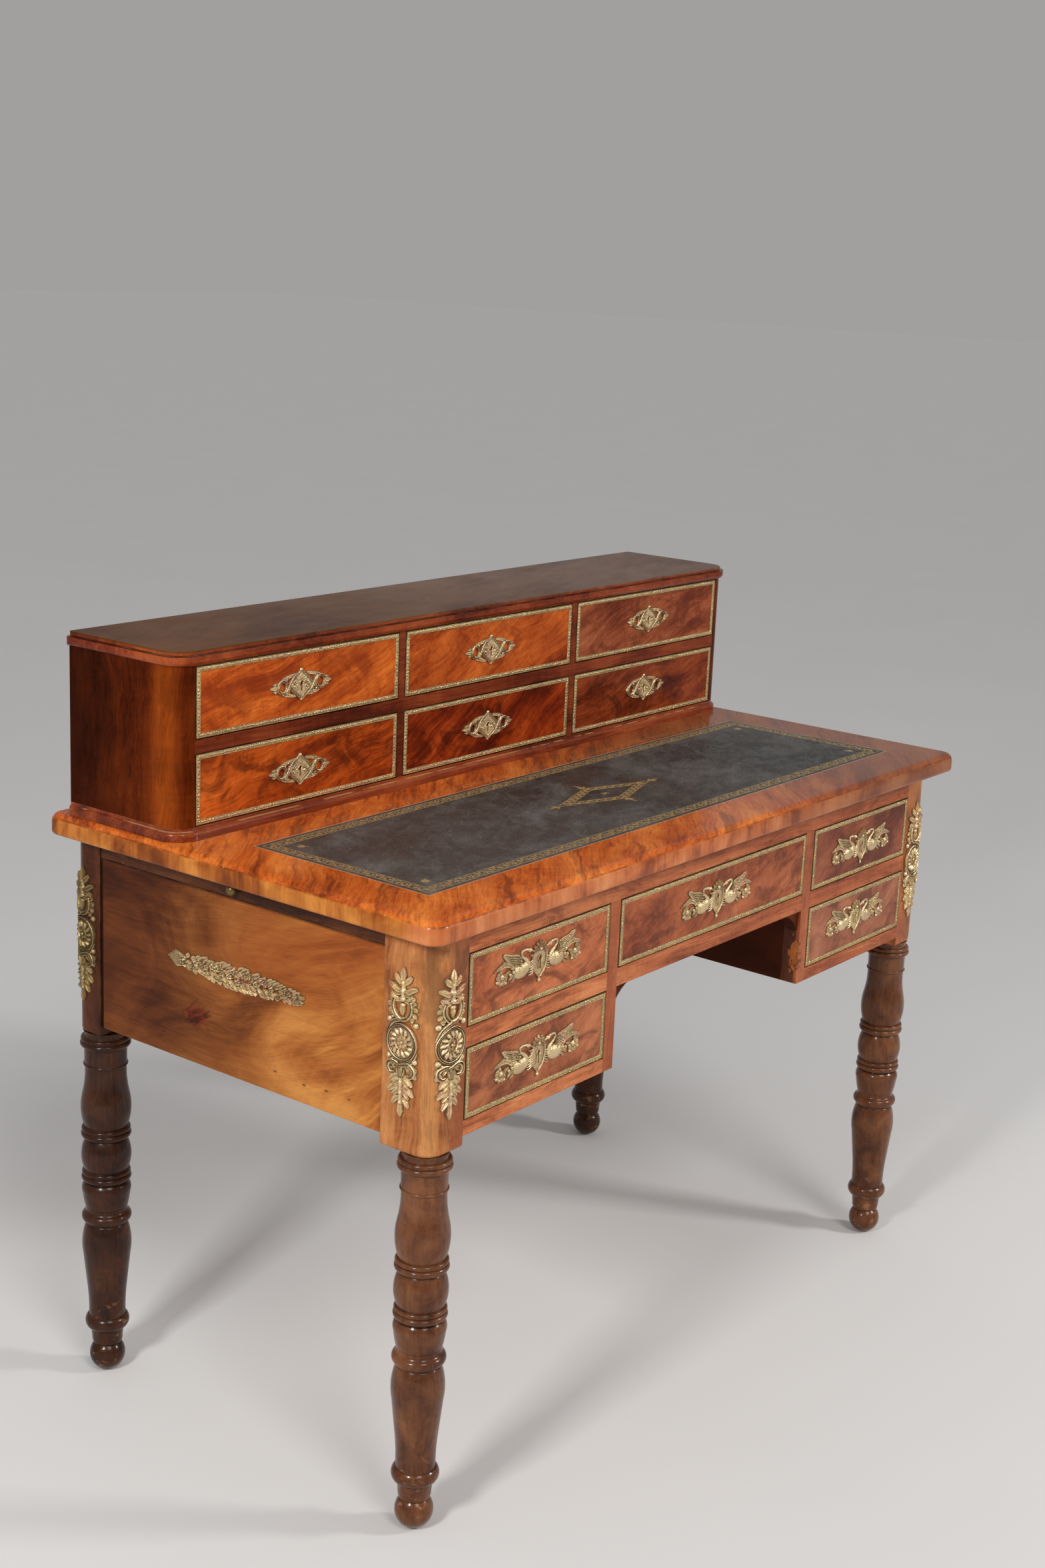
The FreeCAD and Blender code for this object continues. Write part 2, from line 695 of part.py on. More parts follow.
def make_corner_mounts():
    """Tall leaf mounts on the front and side faces of the posts."""
    outline = four_quarters(post_mount_outline)
    z = (body_bottom + upper_top) / 2 + mount_rise
    reach = post_corner_radius + mount_thickness
    half_width = mount_width / 2
    half_height = mount_height / 2

    def on_side(y):
        points = [Vec(-body_side - mount_thickness, y + u * half_width, z + v * half_height) for u, v in outline]
        return curved_plate(points, Vec(reach, 0, 0))

    front_x = -post_inner - front_mount_inset
    points = [Vec(front_x + u * half_width, body_front - mount_thickness, z + v * half_height) for u, v in outline]
    on_front = curved_plate(points, Vec(0, reach, 0))
    front_shell = make_corner_shell(body_front, front_post_rear, body_front)
    rear_shell = make_corner_shell(rear_post_front, body_rear, body_rear)
    mounts = [
        on_front.common(front_shell),
        on_side(front_post_rear - mount_inset).common(front_shell),
        on_side(rear_post_front + mount_inset).common(rear_shell),
    ]
    pieces = []
    for mount in mounts:
        pieces += pair(max(mount.Solids, key=lambda solid: solid.Volume))
    return pieces


def make_garland():
    """Left side panel's flower garland."""
    z = body_bottom + garland_height_on_panel
    points = []
    for u, v in top_and_bottom(garland_outline):
        points.append(Vec(-panel_face, side_middle + u * garland_length / 2, z + v * garland_height / 2))
    return curved_plate(points, Vec(-garland_thickness, 0, 0))


def save(node, *solids):
    """Write one node, a single solid or a group of separate solids."""
    shape = solids[0] if len(solids) == 1 else Part.makeCompound(list(solids))
    shape.exportStep("parts/" + node + ".step")


def main():
    os.makedirs("parts", exist_ok=True)
    save("desk_top", make_table_top())
    save("writing_leather", make_leather())
    for side, x in (("left", -leg_x), ("right", leg_x)):
        save("leg_front_" + side, make_leg(x, leg_front_y))
        save("leg_rear_" + side, make_leg(x, leg_rear_y))
    save("front_posts", *pair(make_post(body_front, front_post_rear, body_front, leg_front_y)))
    save("rear_posts", *pair(make_post(rear_post_front, body_rear, body_rear, leg_rear_y)))
    save("side_panel_left", make_side_panel())
    save("side_panel_right", mirrored(make_side_panel()))
    save("back_panel", *make_back_panels())
    save("front_rails", *make_front_rails())
    save("front_stiles", *pair(make_stile()))
    save("kneehole_panels", *pair(make_kneehole_panel()))
    save("kneehole_brackets", *pair(make_bracket()))
    save("drawer_runners", *make_runners())
    save("side_slide_left", make_slide())
    save("side_slide_right", mirrored(make_slide()))
    save("slide_knob_left", make_knob())
    save("slide_knob_right", mirrored(make_knob()))
    save("tier_base", make_tier_base())
    save("tier_sides", *pair(make_tier_side()))
    save("tier_back", make_tier_back())
    save("tier_dividers", *make_tier_dividers())
    save("tier_top", make_tier_top())
    save("corner_mounts", *make_corner_mounts())
    save("side_garlands", *pair(make_garland()))
    make_all_drawers()


main()
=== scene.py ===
import math
import random

import bmesh
import bpy
from mathutils import Matrix, Vector
from mathutils.geometry import interpolate_bezier


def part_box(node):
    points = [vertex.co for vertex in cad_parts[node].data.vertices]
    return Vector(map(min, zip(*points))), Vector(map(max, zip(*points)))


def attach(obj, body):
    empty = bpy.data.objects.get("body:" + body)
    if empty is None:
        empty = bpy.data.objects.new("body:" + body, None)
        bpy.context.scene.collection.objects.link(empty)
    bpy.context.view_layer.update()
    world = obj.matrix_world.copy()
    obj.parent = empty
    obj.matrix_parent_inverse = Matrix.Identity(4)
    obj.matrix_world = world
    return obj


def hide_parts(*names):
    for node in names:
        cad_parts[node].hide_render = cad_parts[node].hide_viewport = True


bl_info = {
    "name": "Stepped desk",
    "version": (1, 0, 0),
    "blender": (4, 5, 0),
    "location": "View3D > Sidebar > Desk",
    "description": "Veneers, leather and brass for a mahogany desk with a tier of drawers",
    "category": "Object",
}

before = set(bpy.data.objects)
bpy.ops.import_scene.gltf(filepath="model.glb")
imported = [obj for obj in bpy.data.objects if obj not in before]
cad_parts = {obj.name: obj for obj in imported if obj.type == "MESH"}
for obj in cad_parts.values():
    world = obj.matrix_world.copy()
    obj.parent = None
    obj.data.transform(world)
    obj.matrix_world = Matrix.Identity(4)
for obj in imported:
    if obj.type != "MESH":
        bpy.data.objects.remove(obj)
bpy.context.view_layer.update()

MM = 0.001
TABLE_DRAWERS = ("left_upper", "left_lower", "centre", "right_upper", "right_lower")
TIER_DRAWERS = tuple(f"tier_{row}_{column}" for row in ("upper", "lower") for column in ("left", "centre", "right"))

# How far each plate lies to the right of and above the middle of its drawer, in millimetres
PLATE_SHIFTS = {
    "left_upper": (-6, 5.5), "left_lower": (-1, -1), "centre": (-3, -0.5),
    "right_upper": (-1, -3), "right_lower": (-2, 3),
    "tier_upper_left": (-3.5, 0), "tier_upper_centre": (-4, -1), "tier_upper_right": (-0.5, 1),
    "tier_lower_left": (-3.5, -2), "tier_lower_centre": (-5, -1), "tier_lower_right": (-4, 3),
}

# Turns of a grain that lies along X
ALONG = (0, 0, 0)
UPRIGHT = (0, math.radians(90), 0)
DEPTHWAYS = (0, 0, math.radians(90))

# Sections of a raised stroke, across and up as shares of its half width and height
ROUND = ((-1, 0), (-0.82, 0.52), (-0.42, 0.88), (0, 1), (0.42, 0.88), (0.82, 0.52), (1, 0))
LEAF = ((-1, 0), (-0.78, 0.6), (-0.22, 0.58), (0, 1), (0.22, 0.58), (0.78, 0.6), (1, 0))
RIBBON = ((-1, 0), (-0.86, 0.86), (-0.5, 1), (-0.14, 0.5), (0.14, 0.5), (0.5, 1), (0.86, 0.86), (1, 0))
FLAT = ((-1, 0), (-1, 1), (1, 1), (1, 0))

# In millimetres: strokes and tooling, gap round the beading, rounded edges of the posts, the mounts' places on them and
# the boards of the backs
THINNEST = 0.12
GILT_RISE = 0.14
GILT_SUNK = 0.02
BORDER_PITCH = 13
LOZENGE_PITCH = 7
BEADING_GAP = 1.1
POST_RADIUS = 24
MOUNT_FROM_SIDE = 31
MOUNT_FROM_PANEL = 30
BACK_BOARD = 112

# Height in millimetres that counts as the top of the relief
RELIEF = {"swan": 4.2, "lozenge": 3.2, "broken": 3.2, "beading": 0.9, "mount": 5, "garland": 4.4}

# Strokes of the leather's border and lozenge: widths, steps and points along and across
BORDER_MOTIF = (
    ((1.6, 2.8, 2.6, 2.2, 1), 2, ((-6.4, -4), (-3, 4.2), (2.6, 3.4), (2.4, -1.4), (-1, -1.2))),
    ((1, 3, 0.6), 1, ((1.5, -5), (4.4, -3.6), (6.6, 0.5))),
    ((2.2, 0.8), 1, ((-4.6, -4.6), (-1.6, -4.4))),
)
LOZENGE_MOTIF = (((1.6, 3.4, 3, 1), 2, ((-3.4, -3.4), (-0.6, 2.8), (2.6, 2.2), (2.2, -2.4))),)

# In metres; lamps by name, kind, place, power and angle or size
FLOOR_HALF = 40
LAMP_AIM = Vector((0, 0, 0.6))
LAMPS = (
    ("sky", "SUN", (-1, -2.2, 2.9), 0.8, math.radians(20)),
    ("key", "AREA", (-3, -0.5, 2.1), 52, 0.5),
    ("fill", "AREA", (1.7, -2.9, 2), 50, 0.5),
)
SENSOR_HEIGHT = 36
FOCAL_LENGTH = 48.859
CAMERA_PLACE = Matrix((
    (0.620168, 0.166153, -0.766671, -2.22032),
    (-0.783353, 0.183291, -0.593938, -1.68523),
    (0.041839, 0.968916, 0.243828, 1.45572),
    (0, 0, 0, 1),
))


def linear(*levels):
    """A colour from its 0 to 255 screen levels."""
    shares = [level / 255 for level in levels]
    return tuple(s / 12.92 if s <= 0.04045 else ((s + 0.055) / 1.055) ** 2.4 for s in shares)


def colour(name, words, *levels):
    """A colour property that a user can change."""
    return bpy.props.FloatVectorProperty(
        name=name, description=words, subtype="COLOR", size=3, min=0, max=1, default=linear(*levels)
    )


def length(name, words, millimetres):
    """A length property that a user can change."""
    return bpy.props.FloatProperty(
        name=name, description=words, subtype="DISTANCE", unit="LENGTH", default=millimetres * MM
    )


class DeskFinish(bpy.types.PropertyGroup):
    brass: colour("Brass", "Worn high parts of the mounts", 240, 212, 162)
    brass_dark: colour("Brass recess", "Dirt in the recesses of the mounts", 58, 39, 21)
    brass_rose: colour("Brass rose", "Coppery patches on the mounts", 228, 186, 156)
    leather: colour("Leather", "Ground of the writing leather", 50, 45, 42)
    leather_grey: colour("Leather bloom", "Rubbed, greyer parts of the leather", 126, 121, 115)
    gilt: colour("Gilt", "Gold of the tooling", 188, 156, 98)
    oak: colour("Oak", "Inside of the drawers and the backs", 174, 118, 70)
    floor: colour("Floor", "Studio floor", 226, 224, 221)


class DeskSizes(bpy.types.PropertyGroup):
    bead_pitch: length("Bead pitch", "Distance from leaf to leaf in the drawer beading", 4.4)
    bead_width: length("Bead width", "Width of the drawer beading", 6)
    border_inset: length("Border inset", "Gap between the leather's edge and its gilt border", 6)
    border_width: length("Border width", "Width of the gilt border", 14.5)
    lozenge_length: length("Lozenge length", "Length of the gilt lozenge", 204)
    lozenge_depth: length("Lozenge depth", "Depth of the gilt lozenge", 68)
    lozenge_band: length("Lozenge band", "Width of the lozenge's gilt band", 10.5)


def finish():
    return bpy.context.scene.desk_finish


def sizes():
    return bpy.context.scene.desk_sizes


def plug(value, socket):
    """Link a value to a socket, or set a constant on the socket itself."""
    if isinstance(value, Value):
        socket.id_data.links.new(value.socket, socket)
    else:
        socket.default_value = value


class Value:
    """One output socket: sums and products of it add Math nodes."""

    def __init__(self, socket):
        self.socket = socket

    def node(self, kind, settings=None, sockets=None, output=0):
        """Add a node, its settings first and then the values or links of its sockets. Gives back one output."""
        node = self.socket.id_data.nodes.new(kind)
        for name, value in (settings or {}).items():
            setattr(node, name, value)
        for key, value in (sockets or {}).items():
            plug(value, node.inputs[key])
        return Value(node.outputs[output])

    def math(self, operation, *others):
        return self.node("ShaderNodeMath", {"operation": operation}, dict(enumerate((self, *others))))

    def __add__(self, other):
        return self.math("ADD", other)

    def __sub__(self, other):
        return self.math("SUBTRACT", other)

    def __mul__(self, other):
        return self.math("MULTIPLY", other)

    def __truediv__(self, other):
        return self.math("DIVIDE", other)

    def __rsub__(self, other):
        return self.node("ShaderNodeMath", {"operation": "SUBTRACT"}, {0: other, 1: self})

    __radd__ = __add__
    __rmul__ = __mul__

    def largest(self, other):
        return self.math("MAXIMUM", other)

    def size(self):
        return self.math("ABSOLUTE")

    def fade(self, low, high):
        """0 below low, 1 above high, smooth between; the other way round where low is the greater."""
        limits = {"Value": self, "From Min": low, "From Max": high}
        return self.node("ShaderNodeMapRange", {"interpolation_type": "SMOOTHSTEP"}, limits)

    def mix(self, first, second):
        """Colour between the first and the second by this share."""
        shades = [shade if isinstance(shade, Value) else (*shade, 1) for shade in (first, second)]
        return self.node("ShaderNodeMix", {"data_type": "RGBA"}, {0: self, 6: shades[0], 7: shades[1]}, 2)

    def paint(self, share, *levels):
        """This colour with a share of another one over it."""
        return share.mix(self, linear(*levels))

    def stretch(self, size, turn=ALONG, shift=(0, 0, 0)):
        """Texture space whose features are this long along its turned axes, or all round for one number."""
        scale = size if isinstance(size, tuple) else (size,) * 3
        sockets = {"Vector": self, "Location": shift, "Rotation": turn, "Scale": scale}
        return self.node("ShaderNodeMapping", {"vector_type": "TEXTURE"}, sockets)

    def noise(self, detail=2, roughness=0.5, distortion=0, output=0):
        sockets = {"Vector": self, "Scale": 1, "Detail": detail, "Roughness": roughness, "Distortion": distortion}
        return self.node("ShaderNodeTexNoise", {}, sockets, output)

    def cloud(self, size, detail, roughness=0.5, distortion=0, turn=ALONG):
        """Noise with features of this size."""
        return self.stretch(size, turn).noise(detail, roughness, distortion)

    def bent(self, size, amount):
        """This space pushed about by soft noise of this size."""
        push = self.stretch(size).noise(output=1)
        return self.node("ShaderNodeVectorMath", {"operation": "MULTIPLY_ADD"}, {0: push, 1: (amount,) * 3, 2: self})

    def hollow(self, reach):
        """1 in the piece's own hollows within this reach, 0 on its open surfaces."""
        open_share = self.node("ShaderNodeAmbientOcclusion", {"samples": 8, "only_local": True}, {"Distance": reach}, 1)
        return open_share.fade(0.85, 0.4)

    def axes(self):
        return [Value(socket) for socket in self.node("ShaderNodeSeparateXYZ", {}, {0: self}).socket.node.outputs]

    def join(self, *parts):
        return self.node("ShaderNodeCombineXYZ", {}, dict(enumerate(parts)))


def material(name):
    """A new material and its object coordinates."""
    made = bpy.data.materials.new(name)
    made.use_nodes = True
    return made, Value(made.node_tree.nodes.new("ShaderNodeTexCoord").outputs["Object"])


def feed(made, **inputs):
    """Set or link the sockets of a material's shader; underscores stand for spaces. Gives back the material."""
    shader = made.node_tree.nodes["Principled BSDF"]
    for name, value in inputs.items():
        plug(value, shader.inputs[name.replace("_", " ")])
    return made


def flame(place, turn, grain, swirl):
    """Plumes of figured veneer, from 0 dark to 1 light. The grain is the plumes' length and width."""
    long, wide = grain
    flow = place.bent(long * 1.2, swirl).bent(long * 0.25, swirl * 0.16)
    plume = flow.cloud((long, wide, wide), 5, 0.6, turn=turn)
    feather = flow.cloud((long * 0.5, wide * 0.08, wide * 0.08), 4, 0.65, turn=turn)
    hair = flow.cloud((long * 0.25, 0.0012, 0.0012), 2, 0.6, turn=turn)
    ripple = flow.cloud((0.006, wide, wide), 1, turn=turn)
    cloud = place.cloud(long * 0.8, 3, 0.55)
    return (plume * 0.42 + feather * 0.2 + hair * 0.1 + ripple * 0.05 + cloud * 0.23).fade(0.38, 0.62)


def tones(figure, dark, middle, light):
    """Colour of a figure from its dark, middle and light screen levels."""
    made = figure.node("ShaderNodeValToRGB", {}, {0: figure})
    elements = made.socket.node.color_ramp.elements
    elements[0].color, elements[1].color = (*linear(*dark), 1), (*linear(*light), 1)
    for place, levels in ((0.38, middle), (0.72, [(a + b) / 2 for a, b in zip(middle, light)])):
        elements.new(place).color = (*linear(*levels), 1)
    return made


def away_from(place, centre, size):
    """Distance from a point, in shares of a size along each axis."""
    local = place.stretch(size, ALONG, centre)
    return local.node("ShaderNodeVectorMath", {"operation": "LENGTH"}, {0: local}, 1)


def past(place, node, *pair):
    """Distance past the box of a CAD node along two axes, negative inside it."""
    lo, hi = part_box(node)
    ways = [(place.axes()[i] - (lo[i] + hi[i]) / 2).size() - (hi[i] - lo[i]) / 2 for i in pair]
    return ways[0].largest(ways[1])


def polish(made, place, shade, turn, roughness=0.28, coat=0.05, gleam=0.14, wear=(214, 150, 92), edge=1.2):
    """French-polished wood: pores along the grain, softened and rubbed edges, uneven gloss."""
    pores = place.cloud((0.012, 0.0006, 0.0006), 1, turn=turn).fade(0.60, 0.72)
    fine = place.cloud((0.05, 0.0013, 0.0013), 3, 0.6, 0.2, turn).fade(0.4, 0.7)
    grained = (fine * 0.12 + pores * 0.14).mix(shade, (0.016, 0.006, 0.003))
    soft = shade.node("ShaderNodeBevel", {"samples": 4}, {"Radius": edge * MM})
    flat = shade.node("ShaderNodeNewGeometry", output="Normal")
    turned = shade.node("ShaderNodeVectorMath", {"operation": "DOT_PRODUCT"}, {0: soft, 1: flat}, 1)
    rubbed = (1 - turned).fade(0.02, 0.22) * place.cloud(0.03, 4, 0.6).fade(0.42, 0.62)
    smears = place.cloud((0.09, 0.05, 0.05), 3, 0.55, 0.8)
    relief = {"Strength": 0.2, "Distance": 0.0002, "Height": pores, "Normal": soft}
    return feed(
        made, Base_Color=grained.paint(rubbed * 0.4, *wear),
        Roughness=roughness + (smears - 0.5) * 0.2 + rubbed * 0.15,
        Coat_Weight=coat, Coat_Roughness=0.08, Specular_IOR_Level=gleam,
        Normal=shade.node("ShaderNodeBump", {"invert": True}, relief),
    )


def veneer(name, levels, turn, grain=(0.22, 0.05), swirl=0.06, smoke=None, front=None, **gloss):
    """Figured mahogany along the turned X axis, with smoky patches of a given colour and, round a drawer front, a dark
    rim of painted shade.
    """
    made, place = material(name)
    shade = tones(flame(place, turn, grain, swirl), *levels)
    if smoke:
        shade = shade.paint(place.cloud((0.07, 0.07, 0.045), 4, 0.62, 0.9).fade(0.46, 0.66) * 0.72, *smoke)
    if front:
        # Painted shade: a dark rim round the drawer front, along its gap
        shade = shade.paint(past(place, front, 0, 2).fade(-0.0016, -0.0008) * 0.9, 24, 11, 6)
    return polish(made, place, shade, turn, **gloss)


def dress_drawer(name, levels, degrees, grain, swirl, smoke, **gloss):
    """Veneer a drawer front, its grain rising to the right."""
    node = f"{name}_drawer_front"
    turn = (0, math.radians(-degrees), 0)
    dress(veneer(f"mahogany_{name}", levels, turn, grain, swirl, smoke, node, **gloss), node)


def top_veneer():
    """Top board: diagonal figure round the leather, cross-grained band on its edge, pale joint at the leather, and a
    painted reflection that dulls the right part.
    """
    made, place = material("mahogany_top")
    x, y, z = place.axes()
    lo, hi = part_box("desk_top")
    turn = (0, 0, math.radians(38))
    field = tones(flame(place, turn, (0.24, 0.045), 0.06), (124, 46, 12), (194, 88, 26), (240, 138, 56))
    streaks = place.bent(0.07, 0.03).cloud((0.2, 0.016, 0.03), 5, 0.66, 0.5, turn).fade(0.5, 0.64)
    field = field.paint(streaks * 0.6, 88, 30, 9)
    across = place.bent(0.05, 0.004).cloud((0.012, 0.012, 0.5), 4, 0.6)
    broad = place.cloud(0.11, 4, 0.6, 0.7)
    figure = (across * 0.26 + broad * 0.74).fade(0.35, 0.65)
    left = tones(figure, (104, 48, 14), (158, 84, 28), (214, 138, 60))
    front = tones(figure, (130, 60, 28), (188, 102, 54), (220, 140, 88))
    band = y.fade(lo.y + 0.06, lo.y + 0.02).mix(left, front)
    edge = (z + (broad - 0.5) * 0.006).fade(hi.z - 0.003, hi.z - 0.008)
    # Painted reflection: the right part, its edges too, is dulled towards grey brown
    shade = edge.mix(field, band).paint(x.fade(-0.15, 0.45) * 0.72, 102, 62, 42)
    seam = z.fade(hi.z - 0.0068, hi.z - 0.0056) * z.fade(hi.z - 0.004, hi.z - 0.005)
    broken = place.cloud(0.03, 4, 0.65, 0.4).fade(0.4, 0.6)
    shade = shade.paint(seam * broken * 0.6, 92, 40, 16)
    shade = shade.paint(past(place, "writing_leather", 0, 1).fade(0.0024, 0.0012) * 0.75, 196, 158, 132)
    chips = place.cloud((0.007, 0.007, 0.004), 3, 0.6).fade(0.69, 0.73) * seam
    return polish(made, place, shade.paint(chips * 0.7, 232, 190, 140), turn, roughness=0.22, coat=0.13)


def panel_veneer():
    """Side panels: crotch figure that sweeps up to the front, with a red patch and a few knots, paler to the front and
    low down with pale streaks there as painted light, painted shade to the back and along the top edge, and a dark
    joint down the back edge.
    """
    made, place = material("mahogany_side_panel")
    _, y, z = place.axes()
    flow = place.bent(0.2, 0.06).bent(0.06, 0.006)
    _, soft_y, soft_z = flow.axes()
    ahead = (0.12 - soft_y).largest(0)
    climb = soft_z - ahead * ahead * 0.9
    sweep, feather, hair = (
        climb.join(0, soft_y / long, climb / wide).noise(detail, roughness)
        for long, wide, detail, roughness in ((0.5, 0.06, 3, 0.5), (0.3, 0.009, 3, 0.6), (0.06, 0.0014, 2, 0.5))
    )
    fan = away_from(flow, (0, -0.25, 0.5), (10, 0.2, 0.16))
    arcs = fan.join(fan * 14, 0, soft_z / 0.2).noise(2, 0.6)
    blush = place.cloud((0.19, 0.19, 0.11), 5, 0.62, 1, (math.radians(-14), 0, 0))
    forward = y.fade(0.06, -0.14)
    figure = sweep * 0.3 + feather * 0.1 + blush * 0.42 + hair * 0.1 + arcs * forward * 0.14 + (1 - forward) * 0.07
    figure = figure.fade(0.4, 0.65)
    # Pale and deep are lit and shaded copies of the veneer: paler to the front and low down, darker to the back, is
    # painted light and shade
    pale = tones(figure, (124, 64, 26), (170, 97, 41), (206, 138, 69))
    deep = tones(figure, (53, 21, 8), (84, 40, 16), (120, 65, 28))
    shade = (y * -1 - z * 0.1 + blush * 0.2).fade(-0.15, 0.2).mix(deep, pale)
    ruddy = (climb + (blush - 0.5) * 0.12).fade(0.6, 0.64) * soft_y.fade(0.12, 0.02)
    shade = shade.paint(ruddy * 0.4, 150, 68, 24)
    # Painted light: pale streaks over the lower front of the panel
    streaks = flow.cloud((1, 0.13, 0.016), 3, 0.55, turn=(math.radians(-26), 0, 0)).fade(0.5, 0.68)
    shade = shade.paint(streaks * y.fade(-0.05, -0.18) * z.fade(0.62, 0.57) * 0.55, 236, 164, 80)
    ragged = place.cloud((0.012, 0.022, 0.008), 4, 0.65, 0.5, (math.radians(-30), 0, 0))
    stain = (away_from(place, (0, 0.080, 0.550), (10, 0.022, 0.014)) + (ragged - 0.5) * 2.4).fade(1.3, 0.5)
    shade = (stain * 0.85).mix(shade, ragged.fade(0.35, 0.6).mix(linear(40, 10, 5), linear(112, 32, 10)))
    for knot_y, knot_z in ((0.14, 0.515), (-0.05, 0.516), (-0.097, 0.512), (-0.132, 0.515), (-0.167, 0.5145)):
        near = away_from(place, (0, knot_y, knot_z), (10, 0.006, 0.0028)) + ragged * 0.5
        shade = shade.paint(near.fade(1, 0.4) * 0.75, 62, 26, 12)
    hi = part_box("side_panel_left")[1]
    # Dark joint down the back edge, and painted shade along the top edge under the desk top
    gap = y.fade(hi.y - 0.0048, hi.y - 0.0036).largest(z.fade(hi.z - 0.003, hi.z - 0.001) * 0.6)
    return polish(made, place, shade.paint(gap * 0.92, 22, 10, 6), DEPTHWAYS, roughness=0.34, gleam=0.1)


def post_veneer(name, levels, glow):
    """Posts: upright grain, with a painted highlight round the outer front edge, redder beside the drawers, and soot
    with painted shade towards the top, each by the glow's share.
    """
    made, place = material(name)
    x, y, z = place.axes()
    lo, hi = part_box("front_posts")
    # Painted highlight: a pale band round the outer front edge
    corner = (x.size() - (hi.x - 0.02)).fade(0, 0.009) * (y - (lo.y + 0.02)).fade(0, -0.009)
    beside = x.size().fade(hi.x - 0.026, hi.x - 0.05) * y.fade(lo.y + 0.01, lo.y)
    # Soot and painted shade: darker towards the top on the front face
    soot_and_shade = place.cloud((0.03, 0.03, 0.06), 4, 0.6, 0.6).fade(0.42, 0.6)
    soot_and_shade = soot_and_shade * z.fade(0.56, 0.69) * y.fade(lo.y + 0.03, lo.y + 0.01)
    shade = tones(flame(place, UPRIGHT, (0.16, 0.05), 0.08), *levels)
    shade = shade.paint(corner * 0.25 * glow, 244, 184, 116)
    shade = shade.paint(beside * 0.6 * glow, 150, 74, 42)
    return polish(made, place, shade.paint(soot_and_shade * 0.65 * glow, 96, 56, 32), UPRIGHT, roughness=0.26)


def leg_veneer(name, levels, coat):
    """Turned legs: clouded brown wood, with painted shade in the turnings, and scuffed towards the feet."""
    made, place = material(name)
    cloud = place.cloud((0.04, 0.04, 0.05), 5, 0.62, 0.5)
    streak = place.bent(0.08, 0.01).cloud((0.1, 0.005, 0.005), 4, 0.6, turn=UPRIGHT)
    specks = place.cloud((0.004, 0.004, 0.003), 3, 0.65, 0.3).fade(0.6, 0.7)
    scuffs = place.cloud((0.014, 0.014, 0.010), 4, 0.65, 0.4).fade(0.58, 0.68)
    shade = tones((cloud * 0.72 + streak * 0.28).fade(0.28, 0.72), *levels).paint(specks * 0.5, 48, 24, 12)
    shade = shade.paint(scuffs * place.axes()[2].fade(0.16, 0.02) * 0.7, 164, 116, 78)
    # Painted shade: darker in the hollows of the turnings
    shade = shade.paint(place.hollow(0.016) * 0.8, 34, 16, 8)
    return polish(made, place, shade, UPRIGHT, roughness=0.26, coat=coat, wear=(186, 130, 84))


def rail_veneer():
    """Front rails: straight grain, darker to the right, with sooty patches and painted shade under the top."""
    made, place = material("mahogany_rail")
    x, _, z = place.axes()
    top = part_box("front_rails")[1].z
    figure = flame(place, ALONG, (0.25, 0.03), 0.03)
    pale = tones(figure, (136, 66, 38), (194, 110, 64), (230, 148, 96))
    deep = tones(figure, (100, 45, 24), (154, 78, 44), (198, 114, 68))
    soot_and_shade = place.cloud((0.06, 0.06, 0.022), 4, 0.65, 0.7)
    # Painted shade: darker just under the desk top
    under = (z + (soot_and_shade - 0.5) * 0.02).fade(top - 0.03, top - 0.004)
    shade = x.fade(-0.5, 0.15).mix(pale, deep).paint(soot_and_shade.fade(0.5, 0.68) * 0.52, 108, 52, 29)
    return polish(made, place, shade.paint(under * 0.6, 84, 38, 21), ALONG, gleam=0.1)


def kneehole_veneer(name, levels, turn, **gloss):
    """Kneehole walls and stiles, with painted shade on all that lies behind the stiles' front and veneer lost at the
    front foot of the right wall.
    """
    made, place = material(name)
    lo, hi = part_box("front_stiles")
    shade = tones(flame(place, turn, (0.22, 0.04), 0.05), *levels)
    # Painted shade: all that lies behind the stiles' front face, in the kneehole, is darkened
    shade = shade.paint(place.axes()[1].fade(lo.y + 0.002, lo.y + 0.007) * 0.8, 58, 25, 15)
    ragged = place.cloud(0.011, 4, 0.65, 0.4)
    lost = away_from(place, (hi.x - 0.0205, -0.281, 0.532), (0.008, 0.008, 0.026)) + (ragged - 0.5) * 3.2
    bare = tones(place.cloud((0.01, 0.01, 0.024), 3, 0.6), (84, 36, 14), (150, 76, 30), (226, 150, 78))
    shade = shade.paint(lost.fade(1.3, 1.05), 44, 18, 9)
    return polish(made, place, lost.fade(1.08, 0.95).mix(shade, bare), turn, **gloss)


def tier_side_veneer():
    """Sides of the tier: clouded upright grain, with painted shade to the back and a painted highlight as a pale streak
    before the front corner.
    """
    made, place = material("mahogany_tier_side")
    y = place.axes()[1]
    lo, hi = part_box("tier_sides")
    figure = flame(place, UPRIGHT, (0.15, 0.04), 0.06)
    # Back and front are shaded and lit copies of the veneer: painted shade to the back
    back = tones(figure, (28, 6, 0), (43, 11, 1), (60, 19, 3))
    front = tones(figure, (50, 13, 1), (80, 27, 4), (112, 46, 10))
    # Painted highlight: a pale streak before the front corner
    streak = y.fade(lo.y + 0.052, lo.y + 0.03) * y.fade(lo.y + 0.002, lo.y + 0.016) * (figure * 0.5 + 0.5)
    shade = y.fade(hi.y, lo.y + 0.05).mix(back, front).paint(streak * 0.4, 196, 92, 26)
    return polish(made, place, shade, UPRIGHT, coat=0, gleam=0.035, edge=0.7)


